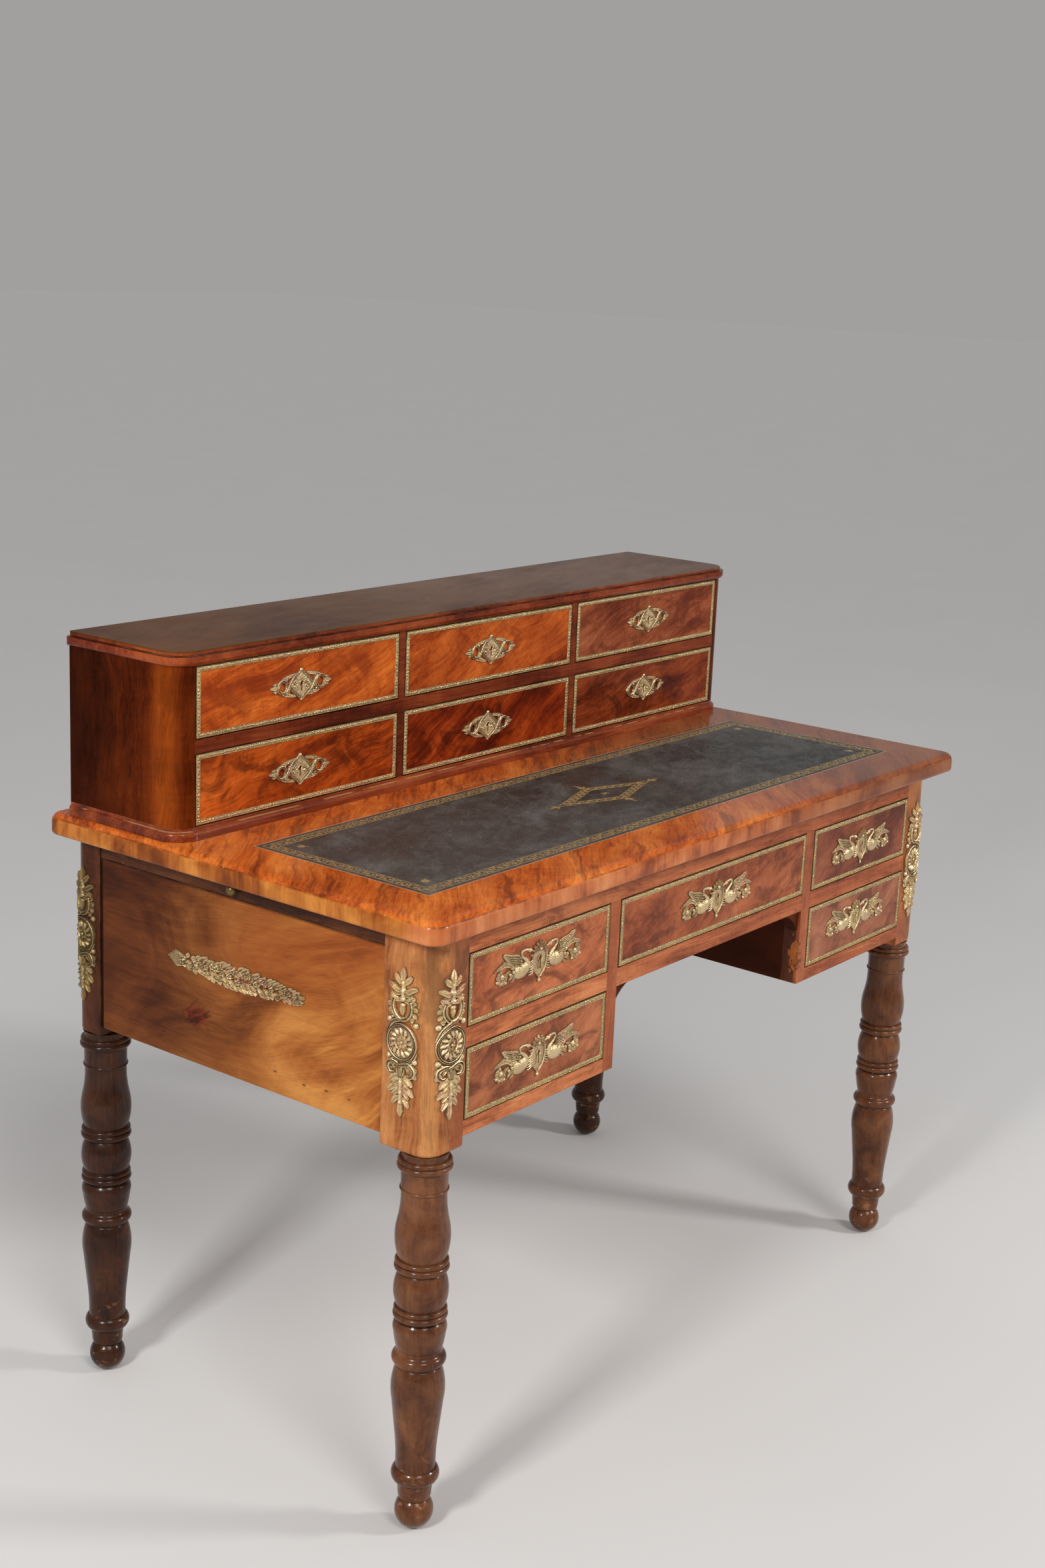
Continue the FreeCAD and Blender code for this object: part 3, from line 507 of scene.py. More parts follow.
def tier_top_veneer():
    """Top of the tier: a board whose tones, olive-brown to the left and greyer to the right, are painted reflections,
    with red mouldings and painted shade in the groove between them.
    """
    made, place = material("mahogany_tier_top")
    x, _, z = place.axes()
    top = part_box("tier_top")[1].z
    turn = (0, 0, 0.35)
    figure = flame(place, turn, (0.26, 0.08), 0.12)
    # Left and right tones are painted reflections, olive-brown to the left and greyer to the right
    left = tones(figure, (72, 34, 6), (92, 50, 12), (106, 62, 20))
    right = tones(figure, (92, 66, 50), (112, 84, 68), (128, 100, 84))
    moulding = tones(figure, (72, 22, 8), (122, 46, 18), (166, 80, 38))
    flat = z.fade(top - 0.0025, top - 0.0008)
    # Painted shade: a dark line in the groove under the cap
    groove = (z - (top - 0.0052)).size().fade(0.0011, 0.0004)
    shade = flat.mix(moulding, x.fade(-0.55, 0.5).mix(left, right)).paint(groove * 0.75, 30, 11, 5)
    return polish(made, place, shade, turn, coat=(1 - flat) * 0.4, gleam=0.03, wear=(224, 158, 104))


def tier_base_veneer():
    """Base of the tier: red moulding with a pale, broken line where the sides stand on it."""
    made, place = material("mahogany_tier_base")
    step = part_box("tier_base")[1].z - 0.004
    shade = tones(flame(place, ALONG, (0.3, 0.03), 0.02), (76, 26, 11), (124, 50, 22), (162, 82, 40))
    line = (place.axes()[2] - step).size().fade(0.0006, 0.0003) * place.cloud(0.05, 4, 0.6).fade(0.44, 0.56)
    return polish(made, place, shade.paint(line * 0.5, 206, 160, 108), ALONG, coat=0.3, gleam=0.1, edge=0.7)


def divider_veneer():
    """Uprights and shelves of the tier: veneered front edges, oak behind them."""
    made, place = material("tier_divider")
    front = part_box("tier_dividers")[0].y
    edge = tones(flame(place, ALONG, (0.2, 0.05), 0.03), (66, 20, 8), (108, 41, 18), (146, 68, 33))
    shade = place.axes()[1].fade(front + 0.004, front + 0.003).mix(oak_shade(place, DEPTHWAYS), edge)
    return polish(made, place, shade, ALONG, gleam=0.08, edge=0.7)


def oak_shade(place, turn):
    """Colour of oak, with its rings and dark rays along the turned X axis."""
    base, dark, darkest = (tuple(c * share for c in finish().oak) for share in (1, 0.55, 0.3))
    rings = place.cloud((0.5, 0.014, 0.014), 3, 0.55, 0.8, turn).fade(0.3, 0.7)
    rays = place.cloud((0.02, 0.0012, 0.0012), 2, 0.6, turn=turn).fade(0.55, 0.75)
    return (rays * 0.4).mix(rings.mix(dark, base), darkest)


def oak(name, turn, board=None):
    """Plain waxed oak: level faces, such as drawer bottoms, have their grain lengthways, and the corners are darker
    with painted shade.
    Where a board's width is given, it is stained and made of such boards, one above the other."""
    made, place = material(name)
    level = place.node("ShaderNodeNewGeometry", output="Normal").axes()[2].size().fade(0.5, 0.9)
    shade = level.mix(oak_shade(place, turn), oak_shade(place, ALONG))
    if board:
        rise = place.axes()[2] / board
        pale = rise.node("ShaderNodeTexWhiteNoise", {"noise_dimensions": "1D"}, {"W": rise.math("FLOOR")})
        shade = shade.paint(0.35 + pale * 0.3, 128, 66, 38)
        shade = shade.paint(rise.math("PINGPONG", 0.5).fade(0.014, 0.006) * 0.85, 36, 20, 12)
    # Painted shade: darker in the piece's own corners and hollows
    shade = shade.paint(place.hollow(0.09) * 0.62, 62, 38, 20)
    return polish(made, place, shade, turn, roughness=0.55, coat=0, wear=(190, 150, 104))


def leather_finish():
    """Black leather: pebbled grain, rubbed grey areas, white specks and a bluish-grey painted reflection to the right.
    """
    made, place = material("writing_leather_finish")
    x = place.axes()[0]
    turn, other_turn = (0, 0, 0.5), (0, 0, 0.4)
    pebbles = {"Vector": place.bent(0.006, 0.002).stretch(0.0028), "Scale": 1}
    grain = place.node("ShaderNodeTexVoronoi", {"feature": "DISTANCE_TO_EDGE"}, pebbles).fade(0, 0.22)
    bloom = place.cloud((0.16, 0.11, 0.1), 5, 0.65, 0.9, turn).fade(0.4, 0.7)
    mottle = place.cloud((0.03, 0.02, 0.02), 5, 0.7, 0.7, turn).fade(0.4, 0.68)
    rubbed = bloom * 0.5 + mottle * 0.3 + x.fade(-0.02, -0.3) * 0.2
    shade = rubbed.mix(tuple(finish().leather), tuple(finish().leather_grey))
    warm = place.stretch((0.25, 0.1, 0.1), other_turn, (0.3, 0.1, 0)).noise(3, 0.5, 0.6).fade(0.4, 0.66)
    shade = shade.paint(warm * x.fade(0.2, 0.05) * 0.6, 70, 54, 43)
    # Painted reflection: bluish-grey mottling over the right part
    shade = shade.paint(x.fade(0.1, 0.3) * mottle * 0.4, 92, 98, 98)
    specks = place.cloud((0.005, 0.004, 0.005), 2, 0.6).fade(0.73, 0.76)
    rubs = place.cloud((0.05, 0.004, 0.01), 4, 0.7, 0.8, turn).fade(0.62, 0.74)
    shade = shade.paint((specks * 0.7).largest(rubs * 0.3), 190, 186, 178)
    wrinkles = place.cloud((0.02, 0.012, 0.01), 3, 0.6, 0.6, other_turn)
    relief = {"Strength": 0.8, "Distance": 0.0006, "Height": grain * 0.5 + wrinkles * 1.4}
    return feed(
        made, Base_Color=(grain * 0.5 + 0.5).mix((0.012, 0.011, 0.010), shade),
        Roughness=0.48 + bloom * 0.14 - grain * 0.06, Specular_IOR_Level=0.32,
        Normal=grain.node("ShaderNodeBump", {}, relief),
    )


def gilt_finish():
    """Gold tooling, rubbed through in places."""
    made, place = material("gilt_tooling")
    worn = place.cloud(0.006, 4, 0.65, 0.3).fade(0.42, 0.62)
    patches = place.cloud(0.1, 3, 0.5, 0.4).fade(0.4, 0.7)
    shade = (worn * 0.75).mix(tuple(finish().gilt), linear(96, 80, 56)).paint(patches * 0.3, 150, 110, 60)
    return feed(made, Base_Color=shade, Metallic=0.35 - worn * 0.3, Roughness=0.42 + worn * 0.2)


def brass_finish(name, tone=1, gold=0):
    """Aged gilt brass: bright worn relief, dirty recesses, greenish and coppery patches. The gold makes it yellower."""
    made, place = material(name)
    relief = place.node("ShaderNodeAttribute", {"attribute_name": "relief"}, output="Fac")
    blotch = place.cloud(0.022, 3, 0.6, 0.5).fade(0.46, 0.66)
    green = place.cloud((0.035, 0.035, 0.03), 2, 0.55, 0.3).fade(0.5, 0.7)
    grime = place.cloud(0.0018, 4, 0.7, 0.2)
    low = (relief + (grime - 0.5) * 0.9).fade(0.5, 0.08).largest(place.hollow(0.003) * 0.95)
    bright = tuple(c * tone * (1 - gold * less) for c, less in zip(finish().brass, (0, 0.2, 1)))
    shade = (green * 0.4).mix(bright, tuple(c * tone for c in linear(186, 162, 106)))
    shade = (blotch * 0.6 * (1 - gold)).mix(shade, tuple(c * tone for c in finish().brass_rose))
    return feed(
        made, Base_Color=(low * 0.88).mix(shade, tuple(finish().brass_dark)),
        Metallic=0.86 - low * 0.5, Roughness=0.27 + low * 0.35 + (grime - 0.5) * 0.2,
        Normal=grime.node("ShaderNodeBump", {}, {"Strength": 1, "Distance": 0.0006, "Height": grime}),
    )


def iron_finish():
    """Dull iron of the lock cases."""
    made, place = material("lock_iron")
    rust = place.cloud(0.012, 4, 0.65, 0.3).fade(0.45, 0.65)
    shade = rust.mix(linear(112, 106, 98), linear(84, 60, 42))
    return feed(made, Base_Color=shade, Metallic=0.85 - rust * 0.6, Roughness=0.42 + rust * 0.25)


def knob_finish():
    """Tarnished brass of the slide knobs."""
    made, place = material("aged_brass_knob")
    dirt = place.cloud(0.006, 4, 0.6, 0.4).fade(0.4, 0.65)
    shade = (dirt * 0.7).mix(linear(132, 112, 66), linear(62, 50, 28))
    return feed(made, Base_Color=shade, Metallic=0.9 - dirt * 0.3, Roughness=0.3 + dirt * 0.25)


def dress(made, *nodes):
    """Give CAD nodes a finish."""
    for node in nodes:
        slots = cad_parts[node].data.materials
        slots.clear()
        slots.append(made)


def sides(corners):
    """The two ends of each side of a closed outline."""
    return zip(corners, corners[1:] + corners[:1])


def rectangle(half_x, half_y):
    return [(-half_x, -half_y), (half_x, -half_y), (half_x, half_y), (-half_x, half_y)]


def ray(x, y, angle, *reaches):
    """A place and points at these distances from it."""
    return [(x + reach * math.cos(angle), y + reach * math.sin(angle)) for reach in (0, *reaches)]


def arc(x, y, radius, count, start=0, turn=360):
    """Points along part of a circle, or round it without a last one on the first."""
    angles = [math.radians(start + turn * i / count) for i in range(count + (turn < 360))]
    return [(x + radius * math.cos(a), y + radius * math.sin(a)) for a in angles]


def keyhole_outline(x, y, radius, slot, drop):
    """Outline of a keyhole: a round hole with a slot below it."""
    return arc(x, y, radius, 16, -62, 304) + [(x - slot / 2, y - drop), (x + slot / 2, y - drop)]


def smooth_path(points, steps):
    """Points of a smooth line through the given ones."""
    knots = [Vector((x, y, 0)) for x, y in points]
    line = [knots[0]]
    for i in range(len(knots) - 1):
        before, after = knots[max(i - 1, 0)], knots[min(i + 2, len(knots) - 1)]
        leave = knots[i] + (knots[i + 1] - before) / 6
        reach = knots[i + 1] - (after - knots[i]) / 6
        line += interpolate_bezier(knots[i], leave, reach, knots[i + 1], steps + 1)[1:]
    return line


def between(values, share):
    """Value at a share of the way along evenly spaced values."""
    at = share * (len(values) - 1)
    i = min(int(at), len(values) - 2)
    return values[i] + (values[i + 1] - values[i]) * (at - i)


def sized(place, size):
    """Matrix that gives a unit shape its place and size."""
    return Matrix.Translation(place) @ Matrix.Diagonal((*size, 1))


def only(kind, parts):
    """The parts of a mesh that are of one kind."""
    return [part for part in parts if isinstance(part, kind)]


def soften(bm, edges, offset):
    bmesh.ops.bevel(bm, geom=edges, offset=offset, affect="EDGES", segments=2, profile=0.5, material=-1)


def stroke(bm, points, widths, rise, section=ROUND, steps=3, closed=False):
    """Raised stroke along a line in the XY plane: its section is extruded from place to place."""
    line = smooth_path(points, steps)
    last = len(line) - 1
    places = []
    for i, at in enumerate(line):
        back, ahead = line[max(i - 1, 0)], line[min(i + 1, last)]
        if closed and i in (0, last):
            back, ahead = line[last - 1], line[1]
        along = (ahead - back).normalized()
        half = max(between(widths, i / last), THINNEST) / 2
        high = rise * (2 * half / max(widths)) ** 0.5
        places.append(Matrix((
            (-along.y * half, 0, along.x, at.x), (along.x * half, 0, along.y, at.y), (0, high, 0, 0), (0, 0, 0, 1)
        )))
    raised = bmesh.new()
    verts = [raised.verts.new(places[0] @ Vector((a, h, 0))) for a, h in section]
    start = edges = [raised.edges.new(pair) for pair in sides(verts)]
    for before, after in zip(places, places[1:]):
        made = bmesh.ops.extrude_edge_only(raised, edges=edges)["geom"]
        edges = only(bmesh.types.BMEdge, made)
        verts = only(bmesh.types.BMVert, made)
        bmesh.ops.transform(raised, matrix=after @ before.inverted(), verts=verts)
    if closed:
        ends = {v for edge in start + edges for v in edge.verts}
        bmesh.ops.remove_doubles(raised, verts=list(ends), dist=0.001)
    else:
        bmesh.ops.contextual_create(raised, geom=start)
        bmesh.ops.contextual_create(raised, geom=edges)
    spare = bpy.data.meshes.new("spare")
    raised.to_mesh(spare)
    raised.free()
    bm.from_mesh(spare)
    bpy.data.meshes.remove(spare)


def ring(bm, points, width, rise, section=ROUND, steps=1):
    """Stroke of one width along a closed line."""
    stroke(bm, points + points[:1], (width, width), rise, section, steps, closed=True)


def ball(bm, x, y, across, up, rise, fine=2):
    """Rounded boss, half sunk in the ground."""
    bmesh.ops.create_icosphere(bm, subdivisions=fine, radius=1, matrix=sized((x, y, 0), (across, up, rise)))


def lumps(bm, places, size, rise, draws):
    """Small bosses of uneven size."""
    for x, y in places:
        big = size * draws.uniform(0.8, 1.15)
        ball(bm, x, y, big, big * draws.uniform(0.8, 1.1), rise * draws.uniform(0.85, 1.1), 1)


def petals(bm, x, y, inner, outer, count, width, rise, twist=0, section=ROUND):
    """Ring of petals."""
    for i in range(count):
        a = 2 * math.pi * i / count
        path = [ray(x, y, a + twist * share, inner + (outer - inner) * share)[1] for share in (0, 0.5, 1)]
        stroke(bm, path, (width * 0.5, width, width * 0.55), rise, section, 2)


def work(bm, strokes, balls=(), side=1):
    """Strokes and bosses from rows of numbers, turned over from right to left where the side is -1."""
    for section, rise, widths, *points in strokes:
        stroke(bm, [(x * side, y) for x, y in points], widths, rise, section)
    for x, y, across, up, rise in balls:
        ball(bm, x * side, y, across, up, rise)


def loop(bm, points, rise):
    """Closed line of edges."""
    verts = [bm.verts.new((x, y, rise)) for x, y in points]
    return [bm.edges.new(pair) for pair in sides(verts)]


def plate(bm, outline, rise, hole=None, soft=0.35, depth=None):
    """Flat plate over an outline, with a hole if one is given, and softened edges. It goes down to the ground, or by
    a given depth."""
    edges = loop(bm, outline, rise)
    if hole:
        made = bmesh.ops.bridge_loops(bm, edges=edges + loop(bm, hole, rise))["faces"]
    else:
        made = bmesh.ops.contextual_create(bm, geom=edges)["faces"]
    rims = [edge for edge in {e for face in made for e in face.edges} if edge.is_boundary]
    extruded = bmesh.ops.extrude_face_region(bm, geom=made, use_keep_orig=True)["geom"]
    bmesh.ops.translate(bm, verts=only(bmesh.types.BMVert, extruded), vec=(0, 0, -(depth or rise)))
    soften(bm, rims, soft)


def mirror_half(bm):
    """Add the mirror image of all that is there."""
    geom = bm.verts[:] + bm.edges[:] + bm.faces[:]
    bmesh.ops.mirror(bm, geom=geom, matrix=Matrix.Identity(4), merge_dist=0, axis="X")


def started(outline, first):
    """A closed outline that starts at another of its points."""
    return outline[first:] + outline[:first]


def swan_plate():
    """Two swans that turn to a keyhole shield with a flower over it, in millimetres."""
    bm = bmesh.new()
    wing = [
        (33, 2), (34.5, 9), (37, 15.4), (44, 17.2), (54, 19), (62, 22), (66.4, 22.4), (67.4, 19.4), (63, 14.2),
        (56, 8.4), (51, 3.4), (43, -1),
    ]
    plate(bm, wing, 1.6, soft=0.7)
    neck = (21, -4), (22.4, 3), (26.4, 7.6), (31, 11), (33.4, 14.6), (31.6, 17.8), (26, 18.2), (19, 16.8)
    strokes = [
        (ROUND, 3.6, (13, 9, 5.4, 4.2, 4, 4, 4, 5), *neck),
        (ROUND, 2.8, (4.4, 3, 0.8), (19, 16.6), (14.5, 15.2), (10, 13)),
        (LEAF, 3.4, (4, 6.4, 7, 5.4, 0.8), (46, -1), (53, 5.6), (63, 8.6), (73, 7), (83, 3.4)),
        (LEAF, 2.8, (2.4, 4.4, 1), (59, 8), (64, 11.4), (70, 10)),
        (LEAF, 3.2, (3, 4.4, 2), (54, -1), (58, -1.2), (63, -3)),
        (LEAF, 3, (4, 5.4, 2), (46, -6), (51.5, -8), (56, -12.4)),
        (LEAF, 2.6, (3, 4, 1.4), (45, -9.6), (48.5, -13), (52.5, -14)),
    ]
    for s in (i / 5 for i in range(6)):
        feather = (37 - 2 * s, 13.6 - 11 * s), (50 - 5 * s, 16 - 11.6 * s), (64 - 16 * s, 20 - 16.4 * s)
        strokes.append((ROUND, 3.5, (1.4, 2.7, 1.2), *feather))
    for i in range(4):
        strokes.append((ROUND, 4.2, (2.8, 1.4), (34.6, 11 - 3.4 * i), (40.4 - 0.6 * i, 12.6 - 3.6 * i)))
    for i in range(8):
        far = 10.4 if i in (2, 3, 4, 5) else 8.8
        bent = ((3.4, 0), (7, 0.18), (far, 0.5))
        path = [ray(68, -4.6, math.radians(-196 + 36 * i) + turn, reach)[1] for reach, turn in bent]
        strokes.append((LEAF, 3.2, (3, 5.6, 3), *path))
    for i in range(6):
        strokes.append((ROUND, 2.8, (2.2, 2.8, 1), (11, 4.6 - 2.9 * i), (15.6, 1.8 - 2.9 * i), (20.4, 1 - 2.9 * i)))
    work(bm, strokes, [
        (33.5, -5.2, 15.2, 9.8, 4.2), (25, -3.4, 8, 8.4, 4), (18.6, 16.6, 3.6, 3, 4), (50, 2.4, 3, 2.8, 3.4),
        (47.6, -3, 2.8, 2.8, 3.4), (53.4, -4.8, 2.8, 2.4, 3), (68, -4.6, 4.6, 4.4, 3), (68, -4.6, 2, 2, 4.2),
        (76, -9, 3, 2.6, 3.6), (62, -12.4, 2.6, 2.4, 3.2),
    ])
    mirror_half(bm)
    right = [(0, 12), (5.2, 12.4), (10.4, 9.8), (12.6, 5), (12.2, -2), (10.4, -8.6), (7, -13.4), (3.2, -17)]
    outline = started(right + [(0, -19.4)] + [(-x, y) for x, y in reversed(right[1:])], -4)
    hole = keyhole_outline(0, 3.4, 3.3, 4, 13)
    plate(bm, outline, 1.5, hole, soft=0.6)
    ring(bm, outline, 2.2, 3.2, steps=2)
    ring(bm, hole, 1.3, 3.2)
    buds = [
        (-6, 15), (6, 15), (-3, 19.6), (3.4, 19), (-10, 12.6), (10, 12.4), (0, 17), (-8, 17), (8, 17), (-4, 13),
        (4, 13),
    ]
    lumps(bm, buds, 2, 5.2, random.Random(5))
    flower = (LEAF, 4.8, (3.4, 5.4, 2), (0, 12), (0, 18), (0, 25)), (ROUND, 3, (5, 2.6), (0, -18), (0, -22))
    work(bm, flower, [(0, 14.4, 3.6, 3.2, 5.2), (0, -23.8, 2.5, 2.7, 3.6)])
    for side in (-1, 1):
        work(bm, [
            (LEAF, 4.6, (3, 5, 2), (2, 12), (4.6, 17), (5.4, 23)),
            (LEAF, 4.4, (3, 5.2, 2), (3, 11.5), (7.6, 15.4), (10, 19.4)),
            (LEAF, 4, (3, 5, 2), (4, 11), (9, 12.4), (13.6, 14.4)),
            (LEAF, 3.4, (2, 3.6, 1), (8, 9), (13, 8.4), (18, 9.6)),
        ], side=side)
    return bm


def lozenge_plate(left_bud=True):
    """Beaded lozenge round a keyhole between two scrolls with bud tips, in millimetres."""
    bm = bmesh.new()
    quarter = [(0, 20), (4.4, 16.4), (10, 12.2), (15.4, 8), (20, 4), (24, 0)]
    half = quarter + [(x, -y) for x, y in reversed(quarter[:-1])]
    outline = half + [(-x, y) for x, y in reversed(half[1:-1])]
    outline = started(outline, len(outline) // 2 - 3)
    hole = keyhole_outline(0, 1.8, 3, 3.4, 9.6)
    plate(bm, outline, 1.4, hole)
    for share, width, high in ((0.97, 1.6, 2.6), (0.79, 1.1, 2.2)):
        ring(bm, [(x * share, y * share) for x, y in outline], width, high)
    ring(bm, hole, 1.2, 2.4)
    draws = random.Random(7)
    edge = smooth_path([(x * 0.88, y * 0.88) for x, y in outline + outline[:1]], 3)
    lumps(bm, [(at.x, at.y) for at in edge[:-1]], 1.35, 3, draws)
    for _ in range(170):
        x, y = draws.uniform(-18, 18), draws.uniform(-14, 14)
        if abs(x) / 18.6 + abs(y) / 15.4 < 0.95 and not (abs(x) < 4.4 and -9 < y < 6.4):
            lumps(bm, [(x, y)], 1.05, 2.4, draws)
    pair = (1, -1)
    for side in (-1, 1):
        petals(bm, 9.8 * side, 0, 0.8, 4.6, 6, 3.2, 3.4, 0.5)
        ball(bm, 9.8 * side, 0, 1.5, 1.5, 4, 1)
        ring(bm, arc(33 * side, 0, 7.7, 12), 4, 3.4, RIBBON, 2)
        scroll = [(27.4, 8.4 * side), (22.4, 1.6 * side), (17, -7 * side), (8.6, -14.6 * side)]
        spray = [((9, 13.6 * up), (17, 12.4 * up), (26, 10.8 * up), (35, 8 * up)) for up in pair]
        work(bm, [
            (RIBBON, 3.8, (4, 4.4, 4, 2), *scroll), *((LEAF, 2.9, (3, 4.8, 5, 1.6), *points) for points in spray),
        ], [
            (22, 10.6, 2.2, 2.2, 3.2), (21.4, -10.4, 2.2, 2.2, 3.2), (41, 0, 2.6, 3.8, 3.4),
            *((25, 3.4 * up, 2.6, 2.8, 2.8) for up in pair), *((26.4, 8 * up, 2.2, 2, 2.8) for up in pair),
        ], side)
        if side > 0 or left_bud:
            work(bm, [
                (LEAF, 3.8, (4.6, 6.4, 1), (40, 0), (46, 0.2), (54, 0)),
                *((LEAF, 3, (3, 4, 1.2), (40, 2 * up), (44, 4.6 * up), (48.6, 4 * up)) for up in pair),
            ], side=side)
    for end in (-1, 1):
        ball(bm, 0, 18.6 * end, 2.4, 2.2, 3.2)
        for x in (4.2, -4.2):
            ball(bm, x * end, 15 * end, 1.6, 1.6, 3, 1)
    return bm


def post_mount():
    """Tall openwork mount: bud, leaves, lyre, rosette medallion, scrolls and pendant bud, in millimetres."""
    bm = bmesh.new()
    for width, rise, *points in (
        (8.4, 5, (0.5, 70), (6, 72), (12, 78.6)),
        (8.2, 5.4, (1, 60.5), (8, 60.4), (14, 64.2), (20.4, 66.2)),
        (6, 4.6, (2, 58.5), (8, 56), (13.4, 58.6)),
        (8.6, 5.2, (2, 49.4), (9, 50), (13.6, 53), (17, 56)),
        (6.4, 4.6, (9, 51), (14, 48.8), (19.4, 49.6)),
        (6.6, 4.4, (12, 46), (17, 43), (21.6, 41.4)),
        (6.4, 4.2, (11.6, 40), (16.4, 35.6), (20.6, 33.2)),
        (6, 4.2, (9, 35), (13, 31), (17, 29.4)),
        (6.4, 4.4, (12, -27), (18, -26.6), (21.6, -29.4)),
        (6.6, 4.4, (13, -33), (18, -34), (21, -38)),
        (5.6, 4.4, (3, -25), (8.6, -27), (12.4, -33)),
        (9.2, 5.4, (1.5, -39.6), (8.6, -40.4), (16.4, -47.6)),
        (7, 4.8, (1.5, -44), (7, -46.4), (11.4, -52)),
        (9.2, 5.4, (1.5, -51.6), (9.4, -52.4), (18.6, -59.4)),
        (7, 4.8, (1.5, -56), (7, -58.6), (12, -64)),
        (8.2, 5, (1.5, -64), (6.4, -66), (12, -73.6)),
    ):
        stroke(bm, points, (width * 0.5, width * 0.95, width, width * 0.42), rise, LEAF)
    work(bm, [
        (RIBBON, 5, (4.4, 5.4, 5.8, 5.4, 4.4), (11.5, 50), (13.4, 44), (11.8, 36), (6.4, 29.6), (0, 27)),
        (RIBBON, 5, (4, 5.4, 6, 5.8, 5, 3), (4, -24.5), (11.5, -23), (17.6, -26), (18.4, -32.5), (14, -37), (9, -36)),
    ], [
        (18.8, 24.2, 4.4, 4, 4.2), (18.4, -18.2, 4.2, 4, 4.2), (14, 28, 2.8, 2.4, 3.8),
        (13.6, -21.8, 2.8, 2.4, 3.8),
    ])
    mirror_half(bm)
    work(bm, [
        (LEAF, 5.8, (6, 9.4, 1.4), (0, 70), (0, 80), (0, 88)),
        (ROUND, 4.4, (6, 7, 8), (0, 70), (0, 60), (0, 49)),
        (LEAF, 5.2, (5.4, 8.6, 3.4), (0, 44), (0, 38.6), (0, 32)),
        (ROUND, 3.8, (6, 12.4, 8), (0, -28), (0, -35), (0, -43)),
        (ROUND, 4.8, (7, 7, 6), (0, -40), (0, -55), (0, -70)),
        (LEAF, 5.4, (6, 9, 1.4), (0, -70), (0, -80), (0, -88)),
        (RIBBON, 4.6, (3, 5.4, 5.6, 3), (-21, 8), (-15, 20.4), (-4, 27), (12, 31)),
        (RIBBON, 4.6, (3, 5.4, 5.6, 3), (21, -7), (15, -19.6), (4, -24.6), (-9, -28)),
    ], [
        (0, 70, 4.2, 3.4, 5), (0, 61, 5, 4.2, 5.4), (0, 51.5, 5.4, 4, 5.6), (0, 44.6, 4.8, 2.8, 4.8),
        (0, -46, 4.4, 4.2, 5.6), (0, -57.5, 4.2, 4, 5.6), (0, -69, 3.8, 3.6, 5.2),
    ])
    for lean in (-4.6, -2.3, 0, 2.3, 4.6):
        stroke(bm, [(lean * 0.4, -41), (lean, -34), (lean * 1.1, -29)], (1.4, 2.2, 1.4), 4.8, ROUND, 2)
    x, y = 0, 0.8
    plate(bm, arc(x, y, 20.6, 40), 2.2)
    ring(bm, arc(x, y, 20.6, 16), 3.4, 4.4, RIBBON, 3)
    ring(bm, arc(x, y, 17.6, 16), 1.4, 3.8, steps=3)
    petals(bm, x, y, 8.8, 17, 13, 6.8, 5.6, 0.22)
    ring(bm, arc(x, y, 8.8, 12), 1.8, 4.4, steps=2)
    petals(bm, x, y, 1.4, 7.8, 8, 4.4, 3.6, 0, LEAF)
    ball(bm, x, y, 2.3, 2.3, 4.6)
    return bm


def garland():
    """Band of flowers and leaves from a fan of leaves to a thin tail, in millimetres."""
    bm = bmesh.new()
    draws = random.Random(11)
    envelope = (7, 10, 12, 13.6, 14.4, 14.6, 14, 13, 11.4, 10, 8, 4)
    full = 14

    def high(x):
        return between(envelope, min(max((x + 92) / 205, 0), 1))

    for i in range(7):
        lean = (i - 3) / 3
        path = [(-80, lean * 3), (-94, lean * 7), (-112 + 12 * abs(lean), lean * 8.6 + 1)]
        stroke(bm, path, (4, 5.6, 2.6), 3.4, LEAF)
    lumps(bm, [(draws.uniform(-90, -78), draws.uniform(-7, 7)) for _ in range(18)], 2.2, 4.2, draws)
    x = -78
    while x < 107:
        reach = high(x)
        for row in (-0.8, -0.32, 0.2, 0.72):
            x0, y0 = x + draws.uniform(-2, 2), row * reach * 0.72
            turn = math.copysign(draws.uniform(0.25, 1.05), row) if draws.random() < 0.8 else draws.uniform(-0.8, 0.8)
            x1, y1 = ray(x0, y0, turn, draws.uniform(9, 13) * (0.6 + 0.4 * reach / full))[1]
            y1 = min(max(y1, -reach), reach)
            bend = (y1 - y0) * draws.uniform(0.4, 0.8)
            wide = draws.uniform(6.4, 8.6) * (0.55 + 0.45 * reach / full)
            path = [(x0, y0), ((x0 + x1) / 2, y0 + bend), (x1, y1)]
            stroke(bm, path, (wide * 0.5, wide, wide * 0.6), draws.uniform(3.4, 5.2), LEAF, 2)
        x += 6.6
    x = -70
    while x < 104:
        reach = high(x)
        cx, cy = x + draws.uniform(-2, 2), reach * draws.uniform(-0.55, 0.55)
        big = draws.uniform(3, 4.4) * (0.5 + 0.5 * reach / full)
        petals(bm, cx, cy, 0.8, big, 5, big, 5.8, draws.uniform(0.2, 0.7))
        ball(bm, cx, cy, 1.4, 1.4, 6, 1)
        x += 9
    spots = [draws.uniform(-76, 108) for _ in range(110)]
    lumps(bm, [(at, draws.uniform(-0.85, 0.85) * high(at)) for at in spots], 1.5, 5, draws)
    return bm


